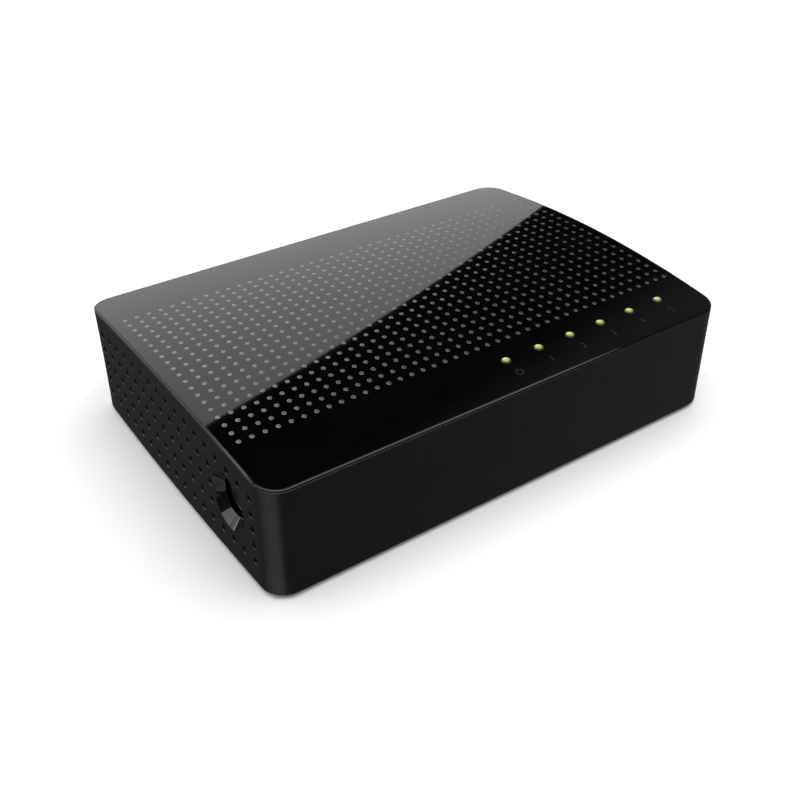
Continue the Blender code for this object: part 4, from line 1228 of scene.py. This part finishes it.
def sky_card(name, turns, rises, light, distance=1.6):
    """A curved card seen only by gloss, between two bearings (from +Y to -X) and elevations."""
    bm = bmesh.new()
    steps = 16
    rows = []
    for rise in rises:
        level_reach = distance * math.cos(math.radians(rise))
        height = distance * math.sin(math.radians(rise))
        bearings = [math.radians(turns[0] + (turns[1] - turns[0]) * step / steps)
                    for step in range(steps + 1)]
        rows.append([bm.verts.new((-level_reach * math.sin(bearing),
                                   level_reach * math.cos(bearing), height))
                     for bearing in bearings])
    for low, high in zip(rows, rows[1:]):
        for step in range(steps):
            bm.faces.new((low[step], low[step + 1], high[step + 1], high[step]))
    stage_object(name, bm, emitter(name + "_light", light), diffuse=False)


def make_side_cards():
    """Light for the power recess, the left rim, the front left corner and the front's right."""
    sky_card("left_card", (30.0, 79.0), (-4.0, 14.0, 30.0), LEFT_CARD_LIGHT)
    sky_card("rim_card", (-18.0, 40.0), (30.0, 58.0), RIM_CARD_LIGHT)
    sky_card("recess_card", (72.0, 98.0), (-60.0, -36.0, -12.0), RECESS_CARD_LIGHT)
    sky_card("corner_card", (98.0, 146.0), (-62.0, -42.0, -22.0), CORNER_CARD_LIGHT)
    sky_card("front_card", (222.0, 285.0), (-55.0, -30.0, -8.0), FRONT_CARD_LIGHT)


def make_glow_dome():
    """What the gloss sees where there is no lamp: lighter below and above the front."""
    radius = 6.0
    bm = bmesh.new()
    bmesh.ops.create_uvsphere(bm, u_segments=48, v_segments=24, radius=radius)
    material = emitter("glow", 1.0)
    tree = material.node_tree
    place = tree.nodes.new("ShaderNodeTexCoord").outputs["Object"]
    split = tree.nodes.new("ShaderNodeSeparateXYZ")
    tree.links.new(place, split.inputs[0])

    def blend(value, start, end, low, high):
        """A smooth step between two levels of light."""
        step = tree.nodes.new("ShaderNodeMapRange")
        step.interpolation_type = 'SMOOTHSTEP'
        settings = {"From Min": start * radius, "From Max": end * radius, "To Min": low,
                    "To Max": high}
        for key, setting in settings.items():
            step.inputs[key].default_value = setting
        tree.links.new(value, step.inputs["Value"])
        return step

    # Heights and places here are shares of the dome's radius.
    upper = blend(split.outputs["Y"], 0.40, 0.51, FRONT_GLOW, UPPER_GLOW)
    whole = blend(split.outputs["Z"], -0.12, 0.12, LOWER_GLOW, UPPER_GLOW)
    tree.links.new(upper.outputs["Result"], whole.inputs["To Max"])
    light = next(node for node in tree.nodes if node.type == 'EMISSION')
    tree.links.new(whole.outputs["Result"], light.inputs["Strength"])
    material.cycles.emission_sampling = 'NONE'
    stage_object("glow_dome", bm, material, diffuse=False)


def make_studio():
    """Pale floor, an overhead softbox, and soft room light that gloss doesn't mirror."""
    floor = Finish("pale_floor", (0.86, 0.86, 0.86), 0.75, specular=0.2)
    floor.vary_colour(0.35, (0.85, 0.85, 0.85), (0.88, 0.88, 0.88))
    size = 6.0
    stage_object("floor", polygon([(-size, -size, 0.0), (size, -size, 0.0), (size, size, 0.0),
                                   (-size, size, 0.0)]),
                 floor.material, camera=True, glossy=False)
    left, right, front, back, height = -0.75, 0.85, -0.8, 0.45, 1.0
    stage_object("softbox", polygon([(left, front, height), (left, back, height),
                                     (right, back, height), (right, front, height)]),
                 emitter("softbox_light", TOP_LIGHT))
    world = bpy.data.worlds.new("room")
    world.use_nodes = True
    world.node_tree.nodes["Background"].inputs["Color"].default_value = (1.0, 1.0, 1.0, 1.0)
    world.node_tree.nodes["Background"].inputs["Strength"].default_value = ROOM_LIGHT
    world.cycles_visibility.glossy = False
    world.cycles_visibility.transmission = False
    bpy.context.scene.world = world
    bpy.context.scene.view_settings.view_transform = 'Standard'


def make_camera():
    """The camera at the reference view."""
    data = bpy.data.cameras.new("camera")
    data.lens = CAMERA_LENS
    data.sensor_width = 36.0
    data.clip_start = 0.01
    data.clip_end = 30.0
    camera = placed("camera", data)
    place, back = camera_place()
    turn = back.to_track_quat('Z', 'Y').to_matrix().to_4x4()
    camera.matrix_world = Matrix.Translation(place) @ turn @ Matrix.Rotation(CAMERA_ROLL, 4, 'Z')
    bpy.context.scene.camera = camera


make_shell()
make_panel()
make_dots()
make_marks()
make_light_guide()
make_base()
make_feet()
make_label()
make_screws()
make_ports()
make_port_wires()
make_power_body()
make_power_pin()
make_power_leaf()
finish_inner_nodes()
make_card()
make_side_cards()
make_glow_dome()
make_studio()
make_camera()
